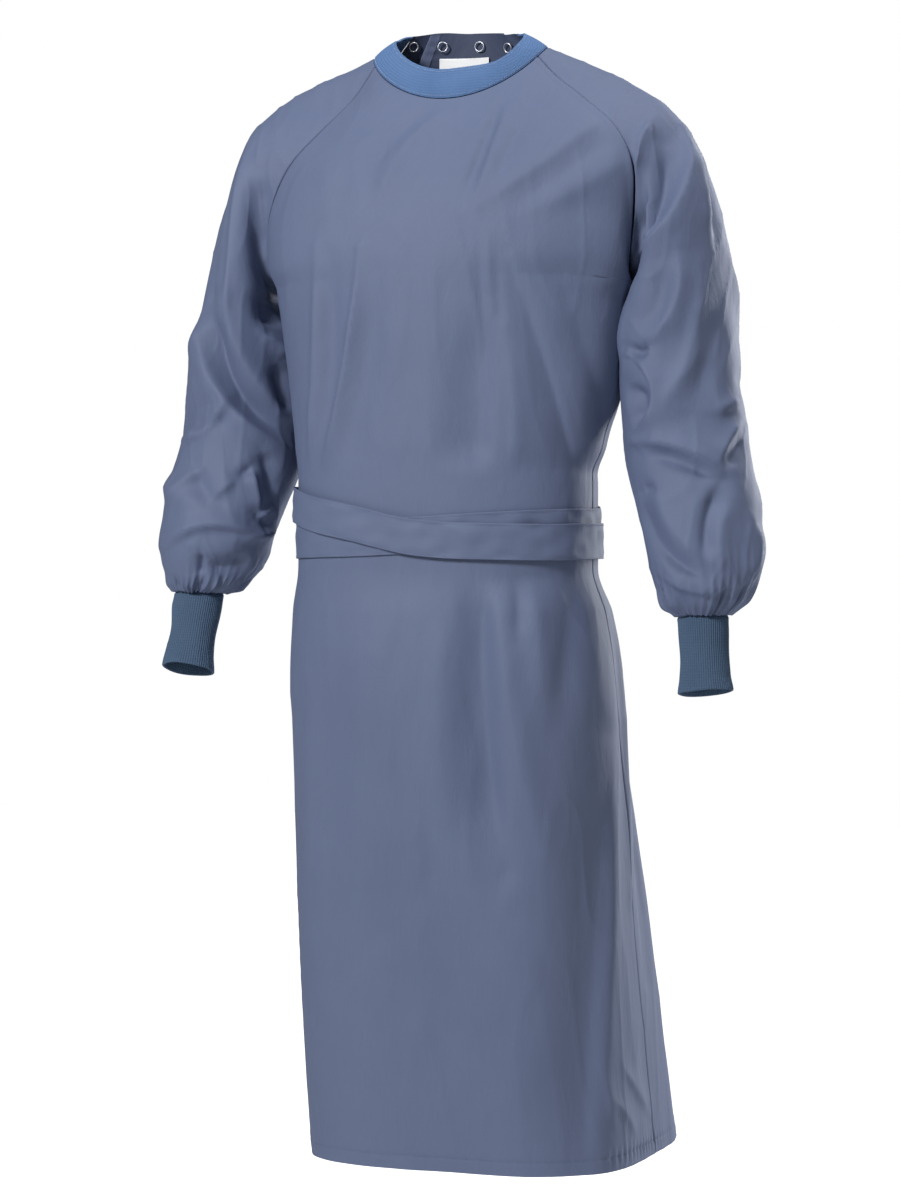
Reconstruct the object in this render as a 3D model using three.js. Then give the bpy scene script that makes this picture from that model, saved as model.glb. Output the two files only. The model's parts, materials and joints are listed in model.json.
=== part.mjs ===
// Surgical gown, worn shape with no wearer, in millimetres.
// +Z is up, the front faces -Y and the wearer's left is +X.
// The origin lies between the wearer's shoulders, where the gown is held.
import * as THREE from 'three';

// Cloth and seams
const CLOTH_WALL = 1.6;
const RIB_WALL = 2.0;
const BELT_WALL = 1.4;
const SEAM_GAP = 0.3;

// Grid counts: cells along each run of cloth
const CELLS = { front: 20, back: 10, raglan: 11, neckArc: 4, band: 2 };

const rad = (degrees) => (degrees * Math.PI) / 180;
const mix = (a, b, t) => a + (b - a) * t;
const add = (p, q) => p.map((v, i) => v + q[i]);
const sub = (p, q) => p.map((v, i) => v - q[i]);
const times = (p, k) => p.map((v) => v * k);
const dot = (p, q) => p[0] * q[0] + p[1] * q[1] + p[2] * q[2];
const cross = (p, q) => [p[1] * q[2] - p[2] * q[1], p[2] * q[0] - p[0] * q[2], p[0] * q[1] - p[1] * q[0]];
const unit = (p) => times(p, 1 / (Math.hypot(...p) || 1));
const blend = (p, q, t) => p.map((v, i) => mix(v, q[i], t));
const count = (n, make) => Array.from({ length: n }, (unused, i) => make(i));
const smooth = (low, high, x) => {
  const t = Math.min(1, Math.max(0, (x - low) / (high - low)));
  return t * t * (3 - 2 * t);
};

// A smooth curve through the rows of a table, read at any value of its first column
function readTable(rows, at) {
  const keys = rows.map((row) => row[0]);
  const rising = keys[keys.length - 1] > keys[0] ? 1 : -1;
  let i = 0;
  while (i < rows.length - 2 && (at - keys[i + 1]) * rising > 0) i += 1;
  const h = keys[i + 1] - keys[i];
  const t = Math.min(1, Math.max(0, (at - keys[i]) / h));
  const slope = (k, c) => {
    const a = Math.max(0, k - 1);
    const b = Math.min(rows.length - 1, k + 1);
    return (rows[b][c] - rows[a][c]) / (keys[b] - keys[a]);
  };
  return rows[0].map((unused, c) => {
    const [p, q] = [rows[i][c], rows[i + 1][c]];
    const [m, n] = [slope(i, c) * h, slope(i + 1, c) * h];
    const t2 = t * t;
    const t3 = t2 * t;
    return (2 * t3 - 3 * t2 + 1) * p + (t3 - 2 * t2 + t) * m + (3 * t2 - 2 * t3) * q + (t3 - t2) * n;
  });
}

// Points evenly spaced along a smooth path through a few given points
function evenPath(points, cells) {
  const rows = points.map((p, i) => [i, ...p]);
  const fine = count(161, (k) => readTable(rows, (k / 160) * (points.length - 1)).slice(1));
  const run = [0];
  for (let k = 1; k < fine.length; k += 1) run.push(run[k - 1] + Math.hypot(...sub(fine[k], fine[k - 1])));
  return count(cells + 1, (c) => {
    const want = (c / cells) * run[160];
    let k = 0;
    while (k < 159 && run[k + 1] < want) k += 1;
    return blend(fine[k], fine[k + 1], (want - run[k]) / (run[k + 1] - run[k]));
  });
}

// Body sections as worn: height, centre x and y, half width, half depth, squareness (2 is an ellipse)
const BODY_SECTIONS = [
  // z, x, y, halfWidth, halfDepth, squareness
  [-215, -6, -22, 207, 127, 2.3],
  [-273, -4, -25, 198, 125, 2.3],
  [-342, -3, -28, 188, 122, 2.3],
  [-400, -6, -31, 177, 121, 2.3],
  [-425, -9, -34, 172, 119, 2.3],
  [-440, -9, -34, 172, 119, 2.3],
  [-530, -9, -34, 172, 119, 2.3],
  [-545, -9, -34, 173, 120, 2.3],
  [-585, -7, -33, 181, 130, 2.4],
  [-660, -5, -25, 186, 141, 2.6],
  [-795, 2, -5, 188, 154, 2.8],
  [-930, 5, 20, 190, 166, 3.1],
  [-1065, 10, 42, 192, 178, 3.4],
  [-1197, 17, 58, 193, 190, 3.6],
];
const UNDERARM_Z = -215;
const HEM_Z = -1197;
const BELT_TOP_Z = -440;
const BELT_LOW_Z = -530;

// A point on the body at an angle round it: 0 is the wearer's left, -90 the front, 90 the back
function bodyPoint(angle, z, out = 0) {
  const [, x, y, halfWidth, halfDepth, power] = readTable(BODY_SECTIONS, z);
  const [c, s] = [Math.cos(rad(angle)), Math.sin(rad(angle))];
  const r = (Math.abs(c / (halfWidth + out)) ** power + Math.abs(s / (halfDepth + out)) ** power) ** (-1 / power);
  return [x + r * c, y + r * s, z];
}

// The neck: ring 0 is the seam under the band, ring 1 the top edge
const NECK_RINGS = [
  { x: 1, y: -18, halfWidth: 104, front: 46, back: 60, frontZ: -7, sideZ: 51, backZ: 46 },
  { x: -3, y: -18, halfWidth: 74, front: 38, back: 56, frontZ: 26, sideZ: 68, backZ: 82 },
];
const NECK_FRONT_CORNER = -20;
const NECK_BACK_CORNER = 28;

function neckPoint(angle, ringShare) {
  const [c, s] = [Math.cos(rad(angle)), Math.sin(rad(angle))];
  const ends = NECK_RINGS.map((n) => {
    const depth = s < 0 ? n.front : n.back;
    const farZ = s < 0 ? n.frontZ : n.backZ;
    return [n.x + n.halfWidth * c, n.y + depth * s, mix(n.sideZ, farZ, Math.abs(s) ** 1.5)];
  });
  return blend(ends[0], ends[1], ringShare);
}

// Raglan seams from the underarm to the neck seam; the end rows come from the body and neck
const RAGLAN = {
  left: {
    front: [[211, -50, -192], [221, -68, -136], [222, -78, -90], [202, -76, -50], [160, -60, -14], [124, -44, 14]],
    back: [[204, 10, -203], [215, 46, -138], [203, 65, -70], [170, 63, -8], [132, 38, 34]],
  },
  right: {
    front: [[-217, -50, -195], [-216, -66, -152], [-203, -76, -112], [-181, -76, -72], [-150, -64, -36], [-118, -45, 2]],
    back: [[-216, 8, -201], [-218, 46, -135], [-203, 65, -70], [-170, 63, -8], [-132, 38, 34]],
  },
};
const SIDE = { left: 1, right: -1 };
const sideAngle = (side, angle) => (SIDE[side] > 0 ? angle : 180 - angle);

function raglanSeam(side, face) {
  const start = bodyPoint(sideAngle(side, 0), UNDERARM_Z);
  const corner = face === 'front' ? NECK_FRONT_CORNER : NECK_BACK_CORNER;
  const end = neckPoint(sideAngle(side, corner), 0);
  return evenPath([start, ...RAGLAN[side][face], end], CELLS.raglan);
}

// Sleeve rings from shoulder to wrist: distance from the neck, centre, lean of the arm from
// straight down, half width across the arm, half depth front to back, and how far the columns
// crowd towards the top, in degrees, to follow the raglan seams
const SLEEVE_RINGS = {
  left: [
    // along, x, y, z, lean, halfWidth, halfDepth, crowd
    [140, 236, -4, -119, 89, 99, 70, 30],
    [235, 251, -12, -194, 58, 85, 75, 20],
    [335, 259, -15, -290, 15, 64, 74, 10],
    [455, 270, -25, -410, 8, 69, 70, 3],
    [530, 289, -40, -485, 8, 66, 66, 0],
    [584, 299, -50, -538, 6, 60, 58, 0],
    [616, 300, -55, -570, 4, 48, 44, 0],
    [640, 296, -58, -588, 2, 30, 25, 0],
  ],
  right: [
    [140, -236, -6, -117, 86, 102, 71, 30],
    [235, -249, -12, -198, 60, 77, 75, 20],
    [335, -260, -15, -297, 15, 65, 74, 10],
    [445, -267, -25, -404, 8, 71, 70, 3],
    [525, -287, -43, -482, 8, 65, 65, 0],
    [560, -290, -50, -514, 6, 64, 60, 0],
    [600, -296, -54, -544, 4, 50, 46, 0],
    [640, -306, -57, -562, 2, 31, 26, 0],
  ],
};
const CUFF_ENDS = { left: [303, -72, -674], right: [-307, -88, -653] };

function ringPoint(side, row, angle) {
  const [, x, y, z, lean, halfWidth, halfDepth, crowd] = row;
  const across = [SIDE[side] * Math.cos(rad(lean)), 0, Math.sin(rad(lean))];
  const turn = rad(angle - crowd * Math.sin(rad(angle)));
  const reach = halfWidth * Math.cos(turn);
  const forward = halfDepth * Math.sin(turn);
  return [x + across[0] * reach, y + forward, z + across[2] * reach];
}

// Folds, each a straight run seen from one direction round the gown: where it starts and ends
// (sideways and up, as seen), how wide it is and how far it stands out (minus for a trough)
const FOLD_SETS = [
  {
    view: 20,
    on: 'body',
    folds: [
      // x0, z0, x1, z1, halfWidth, height
      [11, -530, 50, -860, 26, -11],
      [50, -860, 30, -1290, 34, -6],
      [120, -530, 122, -700, 16, -9],
      [160, -560, 176, -860, 15, 12],
      [176, -860, 166, -1290, 14, 12],
      [140, -800, 136, -1290, 24, -9],
      [-150, -640, -150, -1290, 26, 6],
      [-95, -600, -80, -1290, 34, -6],
      [-30, -640, -25, -1290, 30, 6],
      [-14, -10, -76, -52, 9, 4],
      [32, -10, 2, -88, 9, 5],
      [72, -22, 18, -98, 9, -4],
      [146, -34, 20, -112, 15, 6],
      [176, -58, 66, -132, 14, 6],
      [-176, -180, -178, -290, 14, 5],
      [-126, -180, -152, -410, 15, 6],
      [18, -180, 12, -450, 24, -8],
      [82, -236, 134, -450, 17, -8],
      [60, -300, 76, -440, 16, 5],
    ],
  },
  {
    view: 200,
    on: 'body',
    folds: [
      [-120, -40, -40, -160, 18, 6],
      [110, -40, 50, -170, 18, 6],
      [-60, -200, -90, -430, 20, -8],
      [70, -210, 40, -430, 22, -8],
      [-10, -180, -6, -420, 20, 6],
      [-150, -560, -160, -1290, 26, 10],
      [-80, -560, -84, -1290, 26, -10],
      [-20, -560, -30, -1290, 30, 8],
      [60, -560, 70, -1290, 30, -9],
      [140, -560, 150, -1290, 24, 10],
    ],
  },
  {
    view: 20,
    on: 'sleeve',
    folds: [
      [238, -60, 205, -150, 16, 8],
      [205, -150, 186, -230, 14, 7],
      [225, -230, 300, -300, 16, -6],
      [190, -300, 260, -350, 14, -7],
      [200, -400, 300, -450, 17, -8],
      [225, -490, 320, -545, 16, -7],
      [-240, -60, -222, -145, 14, -7],
      [-300, -210, -215, -290, 18, -6],
      [-315, -370, -225, -440, 18, -7],
      [-330, -470, -240, -430, 15, 6],
    ],
  },
  {
    view: 200,
    on: 'sleeve',
    folds: [
      [-260, -200, -200, -270, 18, -6],
      [-290, -380, -215, -430, 17, -8],
      [-300, -480, -230, -520, 16, -6],
      [250, -200, 200, -280, 18, -6],
      [290, -370, 215, -430, 17, -8],
      [310, -470, 240, -500, 16, -6],
    ],
  },
];

function foldHeight(point, normal, on) {
  let height = 0;
  for (const set of FOLD_SETS.filter((s) => s.on === on)) {
    const [c, s] = [Math.cos(rad(set.view)), Math.sin(rad(set.view))];
    const facing = smooth(0.05, 0.5, dot(normal, [s, -c, 0]));
    if (facing <= 0) continue;
    const [u, v] = [point[0] * c + point[1] * s, point[2]];
    for (const [x0, z0, x1, z1, halfWidth, rise] of set.folds) {
      const [dx, dz] = [x1 - x0, z1 - z0];
      const t = Math.min(1, Math.max(0, ((u - x0) * dx + (v - z0) * dz) / (dx * dx + dz * dz)));
      const away = Math.hypot(u - x0 - dx * t, v - z0 - dz * t) / halfWidth;
      const fade = smooth(0, 0.25, t) * 0.6 + 0.4;
      height += facing * rise * fade * Math.exp(-away * away);
    }
  }
  return height;
}

// Surfaces: each is a grid of points, rows down the cloth and columns across it, outside face up
// Four sides are named top, low, first and last; a row or column on a seam is pulled back from it.

const frontSeam = { left: raglanSeam('left', 'front'), right: raglanSeam('right', 'front') };
const backSeam = { left: raglanSeam('left', 'back'), right: raglanSeam('right', 'back') };

// Heights of the rows below the underarm, closer together at the belt
const LOWER_ROWS = [
  -215, -250, -288, -326, -364, -402, -440, -470, -500, -530, -562, -600, -645, -692, -740, -790, -842,
  -895, -950, -1005, -1060, -1112, -1156, HEM_Z,
];

// A point of a patch: it runs from low to top, meets the seams first and last at its sides, keeps
// less of their bend away from them, and bulges over the chest or shoulder blades
const SEAM_FADE = 4.5;
function patchPoint({ low, top, first, last, bulge }, s, t) {
  const firstBend = sub(first(t), blend(low(0), top(0), t));
  const lastBend = sub(last(t), blend(low(1), top(1), t));
  const bends = add(times(firstBend, (1 - s) ** SEAM_FADE), times(lastBend, s ** SEAM_FADE));
  const out = bulge * Math.sin(Math.PI * t) * Math.sin(Math.PI * s);
  return add(add(blend(low(s), top(s), t), bends), [0, out, 0]);
}
const seamAt = (seam) => (t) => {
  const i = Math.min(CELLS.raglan - 1, Math.floor(t * CELLS.raglan));
  return blend(seam[i], seam[i + 1], t * CELLS.raglan - i);
};

const FRONT = {
  low: (s) => bodyPoint(mix(-180, 0, s), UNDERARM_Z),
  top: (s) => neckPoint(mix(-180 - NECK_FRONT_CORNER, NECK_FRONT_CORNER, s), 0),
  first: seamAt(frontSeam.right),
  last: seamAt(frontSeam.left),
  bulge: -16,
};
const BACK = {
  low: (s) => bodyPoint(mix(180, 0, s), UNDERARM_Z),
  top: (s) => neckPoint(mix(180 - NECK_BACK_CORNER, NECK_BACK_CORNER, s), 0),
  first: seamAt(backSeam.right),
  last: seamAt(backSeam.left),
  bulge: 18,
};

function frontGrid() {
  const across = count(CELLS.front + 1, (i) => i / CELLS.front);
  const upper = count(CELLS.raglan + 1, (j) => across.map((s) => patchPoint(FRONT, s, j / CELLS.raglan)));
  const lower = LOWER_ROWS.slice(1).map((z) => across.map((s) => bodyPoint(mix(-180, 0, s), z)));
  return [...upper.reverse(), ...lower];
}

// The back panels lie on one surface and overlap at the centre: the under panel sinks inside the
// over panel. Each free edge is a share of the way round from the wearer's right to the left.
const FREE_EDGE = { over: { low: 10 / 16, neck: 0.76 }, under: { low: 6 / 16, neck: 0.17 } };
const OVERLAP_SINK = 4.4;

function backGrid(layer) {
  const edge = FREE_EDGE[layer];
  const start = layer === 'over' ? 0 : 1;
  const share = (i, t) => mix(start, mix(edge.low, edge.neck, t), i / CELLS.back);
  const columns = count(CELLS.back + 1, (i) => i);
  const neckAngle = (s) => mix(180 - NECK_BACK_CORNER, NECK_BACK_CORNER, s);
  const stand = count(CELLS.band, (k) =>
    columns.map((i) => neckPoint(neckAngle(share(i, 1)), 1 - k / CELLS.band)));
  const upper = count(CELLS.raglan + 1, (j) => {
    const t = j / CELLS.raglan;
    return columns.map((i) => patchPoint(BACK, share(i, t), t));
  }).reverse();
  const lower = LOWER_ROWS.slice(1).map((z) => columns.map((i) => bodyPoint(mix(180, 0, share(i, 0)), z)));
  return [...stand, ...upper, ...lower];
}

// A sleeve runs from its seam loop (front seam, neck arc, back seam) through the rings to the wrist
const SLEEVE_ALONG = [
  0, 45, 88, 128, 165, 200, 235, 270, 303, 335, 372, 410, 448, 486, 520, 550, 577, 600, 618, 640,
];

function sleeveLoop(side) {
  const arc = count(CELLS.neckArc + 1, (k) =>
    neckPoint(sideAngle(side, mix(NECK_FRONT_CORNER, NECK_BACK_CORNER, k / CELLS.neckArc)), 0));
  return [...frontSeam[side], ...arc.slice(1), ...[...backSeam[side]].reverse().slice(1, -1)];
}

function sleeveGrid(side) {
  const loop = sleeveLoop(side);
  const top = CELLS.raglan + CELLS.neckArc / 2;
  const columns = loop.map((start, c) => {
    const angle = ((c - top) / loop.length) * 360;
    const path = [[0, ...start], ...SLEEVE_RINGS[side].map((row) => [row[0], ...ringPoint(side, row, angle)])];
    return SLEEVE_ALONG.map((along) => readTable(path, along).slice(1));
  });
  return SLEEVE_ALONG.map((unused, r) => columns.map((column) => column[r]));
}

// A cuff carries on from the sleeve's last ring, with the same columns, and its rings turn until
// the open end stands square to the forearm
const CUFF_ROWS = 4;

function cuffGrid(side) {
  const start = sleeveGrid(side).at(-1);
  const [, x, y, z] = SLEEVE_RINGS[side].at(-1);
  const drop = sub(CUFF_ENDS[side], [x, y, z]);
  return count(CUFF_ROWS + 1, (r) => {
    const t = r / CUFF_ROWS;
    const swell = 1 - 0.06 * Math.sin(Math.PI * t) + 0.03 * t;
    return start.map((p) => {
      const aside = times(sub(p, [x, y, z]), swell);
      const tilt = (-t * (aside[0] * drop[0] + aside[1] * drop[1])) / drop[2];
      return add([x, y, z], add(add(aside, [0, 0, tilt]), times(drop, t)));
    });
  });
}

// The neck band stands on the front panel and both sleeve heads, and ends at the back panels
function bandGrid() {
  const arc = (k) => mix(NECK_BACK_CORNER, NECK_FRONT_CORNER, k / CELLS.neckArc);
  const angles = [
    ...count(CELLS.neckArc, (k) => 180 - arc(k)),
    ...count(CELLS.front, (i) => mix(180 - NECK_FRONT_CORNER, 360 + NECK_FRONT_CORNER, i / CELLS.front)),
    ...count(CELLS.neckArc + 1, (k) => 360 + arc(CELLS.neckArc - k)),
  ];
  return count(CELLS.band + 1, (k) => angles.map((angle) => neckPoint(angle, 1 - k / CELLS.band)));
}

// Cloth finish: normals, folds, seam gaps and thickness

const keyOf = (p) => p.map((v) => Math.round(v * 20)).join(',');

function gridNormals({ grid, closed, turn = 1 }) {
  const rows = grid.length;
  const n = grid[0].length;
  return grid.map((row, r) => row.map((p, c) => {
    const left = closed ? row[(c + n - 1) % n] : row[Math.max(0, c - 1)];
    const right = closed ? row[(c + 1) % n] : row[Math.min(n - 1, c + 1)];
    const up = grid[Math.max(0, r - 1)][c];
    const down = grid[Math.min(rows - 1, r + 1)][c];
    return times(unit(cross(sub(down, up), sub(right, left))), turn);
  }));
}

// Pieces that meet at a seam share one normal there, so their walls meet face to face
function shareNormals(cloths) {
  const sums = new Map();
  for (const cloth of cloths) {
    cloth.normals = gridNormals(cloth);
    cloth.grid.forEach((row, r) => row.forEach((p, c) => {
      const key = keyOf(cloth.base[r][c]);
      sums.set(key, add(sums.get(key) || [0, 0, 0], cloth.normals[r][c]));
    }));
  }
  for (const cloth of cloths) {
    cloth.normals = cloth.base.map((row) => row.map((p) => unit(sums.get(keyOf(p)))));
  }
}

function foldCloth(cloth) {
  const rows = cloth.base.length;
  const n = cloth.base[0].length;
  cloth.grid = cloth.base.map((row, r) => row.map((p, c) => {
    const normal = cloth.normals[r][c];
    const calm = cloth.calm ? cloth.calm(p, r / (rows - 1), c / (n - 1), c) : 1;
    const rise = calm === 0 ? 0 : calm * foldHeight(p, normal, cloth.on);
    const extra = cloth.extra ? cloth.extra(p, r, c) : 0;
    return add(p, times(normal, rise + extra));
  }));
}

// Pull the seam edges of a grid back by half the seam gap
function openSeams(cloth) {
  const { grid, normals, closed } = cloth;
  const rows = grid.length;
  const n = grid[0].length;
  const inward = (r, c, dr, dc) => {
    const before = dr ? (closed ? grid[r][(c + n - 1) % n] : grid[r][Math.max(0, c - 1)]) : grid[Math.max(0, r - 1)][c];
    const after = dr ? (closed ? grid[r][(c + 1) % n] : grid[r][Math.min(n - 1, c + 1)]) : grid[Math.min(rows - 1, r + 1)][c];
    const aside = unit(cross(normals[r][c], sub(after, before)));
    const inside = sub(grid[r + dr][(c + dc + n) % n], grid[r][c]);
    return dot(aside, inside) < 0 ? times(aside, -1) : aside;
  };
  const moved = grid.map((row) => row.map((p) => [...p]));
  for (let r = 0; r < rows; r += 1) {
    for (let c = 0; c < n; c += 1) {
      const pulls = [];
      if (cloth.seams.top && r === 0) pulls.push(inward(r, c, 1, 0));
      if (cloth.seams.low && r === rows - 1) pulls.push(inward(r, c, -1, 0));
      if (cloth.seams.first && c === 0) pulls.push(inward(r, c, 0, 1));
      if (cloth.seams.last && c === n - 1) pulls.push(inward(r, c, 0, -1));
      if (pulls.length === 1) moved[r][c] = add(grid[r][c], times(pulls[0], SEAM_GAP / 2));
      if (pulls.length === 2) {
        const reach = SEAM_GAP / 2 / (1 + Math.max(-0.6, dot(pulls[0], pulls[1])));
        moved[r][c] = add(grid[r][c], times(add(pulls[0], pulls[1]), reach));
      }
    }
  }
  cloth.grid = moved;
}

// A closed solid between an outer and an inner grid. Each edge strip is split along the diagonal
// from its lower outer corner, so that two pieces split a shared seam the same way.
function solidFromGrids(outer, inner, closed, turn = 1) {
  const rows = outer.length;
  const n = outer[0].length;
  const positions = [...outer.flat(), ...inner.flat()].flat();
  const index = [];
  const at = (r, c, face) => face * rows * n + r * n + (c % n);
  const tri = (a, b, c) => index.push(...(turn > 0 ? [a, b, c] : [a, c, b]));
  const quad = (a, b, c, d) => {
    if (turn > 0) tri(a, b, c), tri(a, c, d);
    else tri(a, b, d), tri(b, c, d);
  };
  const height = (i) => positions[3 * i + 2] + 0.37 * positions[3 * i] + 0.11 * positions[3 * i + 1];
  const strip = (a, b, c, d) => {
    if (height(a) < height(b)) tri(a, b, c), tri(a, c, d);
    else tri(a, b, d), tri(b, c, d);
  };
  const span = closed ? n : n - 1;
  for (let r = 0; r < rows - 1; r += 1) {
    for (let c = 0; c < span; c += 1) {
      quad(at(r, c, 0), at(r + 1, c, 0), at(r + 1, c + 1, 0), at(r, c + 1, 0));
      quad(at(r, c, 1), at(r, c + 1, 1), at(r + 1, c + 1, 1), at(r + 1, c, 1));
    }
  }
  for (let c = 0; c < span; c += 1) {
    strip(at(0, c, 0), at(0, c + 1, 0), at(0, c + 1, 1), at(0, c, 1));
    strip(at(rows - 1, c + 1, 0), at(rows - 1, c, 0), at(rows - 1, c, 1), at(rows - 1, c + 1, 1));
  }
  if (!closed) {
    for (let r = 0; r < rows - 1; r += 1) {
      strip(at(r + 1, 0, 0), at(r, 0, 0), at(r, 0, 1), at(r + 1, 0, 1));
      strip(at(r, n - 1, 0), at(r + 1, n - 1, 0), at(r + 1, n - 1, 1), at(r, n - 1, 1));
    }
  }
  const geometry = new THREE.BufferGeometry();
  geometry.setAttribute('position', new THREE.Float32BufferAttribute(positions, 3));
  geometry.setIndex(index);
  return geometry;
}

// The pieces of cloth

// How much of the fold table a point takes: none at the belt, the neck and the raglan seams
const beltCalm = (p) => Math.max(
  smooth(BELT_LOW_Z - 8, BELT_LOW_Z - 95, p[2]),
  smooth(BELT_TOP_Z + 8, BELT_TOP_Z + 70, p[2]),
);
const belowArm = (p) => smooth(UNDERARM_Z, UNDERARM_Z - 120, p[2]);
const frontCalm = (p, down, share) => {
  const edge = smooth(0, 0.14, Math.min(share, 1 - share));
  return Math.max(edge * smooth(0, 0.035, down), belowArm(p)) * beltCalm(p);
};
const backCalm = (p, down, share) => {
  const edge = smooth(0, 0.2, share) * smooth(60, -40, p[2]);
  return Math.max(edge, belowArm(p)) * beltCalm(p);
};
const sleeveCalm = (p, down) => smooth(0, 0.2, down) * smooth(1, 0.9, down);
const still = () => 0;

// Gathers where a sleeve is drawn into its cuff: every other column stands out
const GATHER_DEPTH = 3.2;
const GATHER_SHARE = [0.35, 0.9, 1, 0.6, 0];
const gathers = (p, r, c) => {
  const share = GATHER_SHARE[r - (SLEEVE_ALONG.length - GATHER_SHARE.length)] || 0;
  return share * GATHER_DEPTH * (c % 2 ? 1 : -1);
};
const sinkUnder = (p, r, c) => {
  const t = Math.min(1, Math.max(0, 1 - (r - CELLS.band) / CELLS.raglan));
  const overEdge = mix(FREE_EDGE.over.low, FREE_EDGE.over.neck, t);
  const here = mix(1, mix(FREE_EDGE.under.low, FREE_EDGE.under.neck, t), c / CELLS.back);
  return -OVERLAP_SINK * smooth(overEdge + 0.14, overEdge + 0.02, here);
};

const panel = (base, on, calm, seams, more) => ({ base, on, calm, seams, wall: CLOTH_WALL, ...more });
const ribbed = { wall: RIB_WALL };
const tube = { closed: true };
const turned = { turn: -1 };

const CLOTHS = {
  front_panel: panel(frontGrid(), 'body', frontCalm, { top: true, first: true, last: true }),
  back_panel_over: panel(backGrid('over'), 'body', backCalm, { first: true }, turned),
  back_panel_under: panel(backGrid('under'), 'body', backCalm, { first: true }, { extra: sinkUnder }),
  sleeve_left: panel(sleeveGrid('left'), 'sleeve', sleeveCalm, { top: true, low: true }, { ...tube, extra: gathers }),
  sleeve_right: panel(sleeveGrid('right'), 'sleeve', sleeveCalm, { top: true, low: true }, { ...tube, ...turned, extra: gathers }),
  neck_band: panel(bandGrid(), 'none', still, { first: true, last: true, low: true }, ribbed),
  cuff_left: panel(cuffGrid('left'), 'none', still, { top: true }, { ...tube, ...ribbed }),
  cuff_right: panel(cuffGrid('right'), 'none', still, { top: true }, { ...tube, ...ribbed, ...turned }),
};

// A point on the finished body surface, folds included, moved out by a distance
function bodySurface(angle, z, out) {
  const p = bodyPoint(angle, z);
  const aside = sub(bodyPoint(angle + 0.5, z), bodyPoint(angle - 0.5, z));
  const upward = sub(bodyPoint(angle, z + 2), bodyPoint(angle, z - 2));
  const normal = unit(cross(aside, upward));
  return add(p, times(normal, out + beltCalm(p) * foldHeight(p, normal, 'body')));
}

// The belt: one strip, twice round the waist. It starts behind, passes inside across the front,
// rises round the back, crosses outside over the front and ends behind, where its tails hang.
const BELT_WIDTH = 40;
const BELT_TURNS = [
  // angle, z, out
  [95, -503, 1.3],
  [180, -503, 1.3],
  [240, -502, 1.3],
  [280, -498, 1.3],
  [333, -491, 1.3],
  [370, -486, 1.3],
  [450, -462, 1.3],
  [500, -459, 3.4],
  [540, -460, 5.0],
  [560, -463, 5.0],
  [575, -473, 5.0],
  [598, -485, 5.0],
  [625, -499, 5.0],
  [644, -504, 5.0],
  [663, -506, 5.0],
  [693, -507, 5.0],
  [730, -504, 5.0],
  [801, -503, 5.0],
];
const BELT_CELLS = 80;
const TAIL_TURN = 34;
const TAIL_LENGTH = 250;
const WAIST_MM_PER_DEGREE = 2.1;

function beltGrid() {
  // the line along the strip: angle, z, out and heading (0 runs round the waist, 90 straight down)
  const [start, end] = [BELT_TURNS[0], BELT_TURNS.at(-1)];
  const bend = count(5, (k) => (k + 1) * 18);
  const tail = (from, way, out) => {
    const curve = bend.map((turn) => [
      from[0] + (way * TAIL_TURN * Math.sin(rad(turn))) / WAIST_MM_PER_DEGREE,
      from[1] - TAIL_TURN * (1 - Math.cos(rad(turn))),
      mix(from[2], out, turn / 90),
      turn,
    ]);
    const [angle, z] = curve.at(-1);
    return [...curve, ...count(6, (k) => [angle, z - ((k + 1) / 6) * TAIL_LENGTH, out, 90])];
  };
  const round = count(BELT_CELLS + 1, (k) => {
    const angle = mix(start[0], end[0], k / BELT_CELLS);
    return [...readTable(BELT_TURNS, angle), 0];
  });
  const startTail = tail(start, -1, 3.2).map(([angle, z, out, turn]) => [angle, z, out, -turn]).reverse();
  const line = [...startTail, ...round, ...tail(end, 1, 6.6)];
  return [0.5, 0, -0.5].map((side) => line.map(([angle, z, out, turn]) => {
    const width = side * BELT_WIDTH;
    const aside = (width * Math.sin(rad(turn))) / WAIST_MM_PER_DEGREE;
    return bodySurface(angle + aside, z + width * Math.cos(rad(turn)), out);
  }));
}

function plainNormals(cloth) {
  return { ...cloth, normals: gridNormals({ ...cloth, grid: cloth.base }) };
}

// The knot behind: a soft flattened lump over the crossing
const KNOT = { angle: 90, z: -506, out: 13.7, halfWidth: 21, halfDepth: 6.5, halfHeight: 24 };

function knotGeometry() {
  const shape = new THREE.SphereGeometry(1, 14, 10);
  const position = shape.getAttribute('position');
  for (let i = 0; i < position.count; i += 1) {
    const [x, y, z] = [position.getX(i), position.getZ(i), -position.getY(i)];
    const pinch = 1 - 0.18 * Math.cos(3 * z) * (1 - z * z);
    position.setXYZ(i, KNOT.halfWidth * x * pinch, KNOT.halfDepth * y, KNOT.halfHeight * z);
  }
  return shape;
}

// A place on the inside of a finished cloth, found by row and column, moved in by a distance
function insideOf(cloth, row, column, depth) {
  const [r, c] = [Math.floor(row), Math.floor(column)];
  const pick = (grid) => blend(
    blend(grid[r][c], grid[r][c + 1], column - c),
    blend(grid[r + 1][c], grid[r + 1][c + 1], column - c),
    row - r,
  );
  const normal = unit(pick(cloth.normals));
  return { point: sub(pick(cloth.grid), times(normal, cloth.wall + depth)), normal };
}

// Ring snaps inside the back neck: which panel, its column, and how far it stands off the cloth, so
// that a flat ring just clears the curve of the neck
const SNAP = { ringRadius: 4.7, wireRadius: 1.1, row: 0.78 };
const SNAPS = [
  ['back_panel_over', 0.9, 1.3],
  ['back_panel_under', 8.9, 0.55],
  ['back_panel_under', 5.5, 0.25],
  ['back_panel_under', 2.4, 0.5],
];

// The blank label hangs inside the under panel, just below the snaps
const LABEL = { firstColumn: 4.9, lastColumn: 8.8, row: 1.55, height: 25, wall: 0.8, lift: 0.9 };

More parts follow.
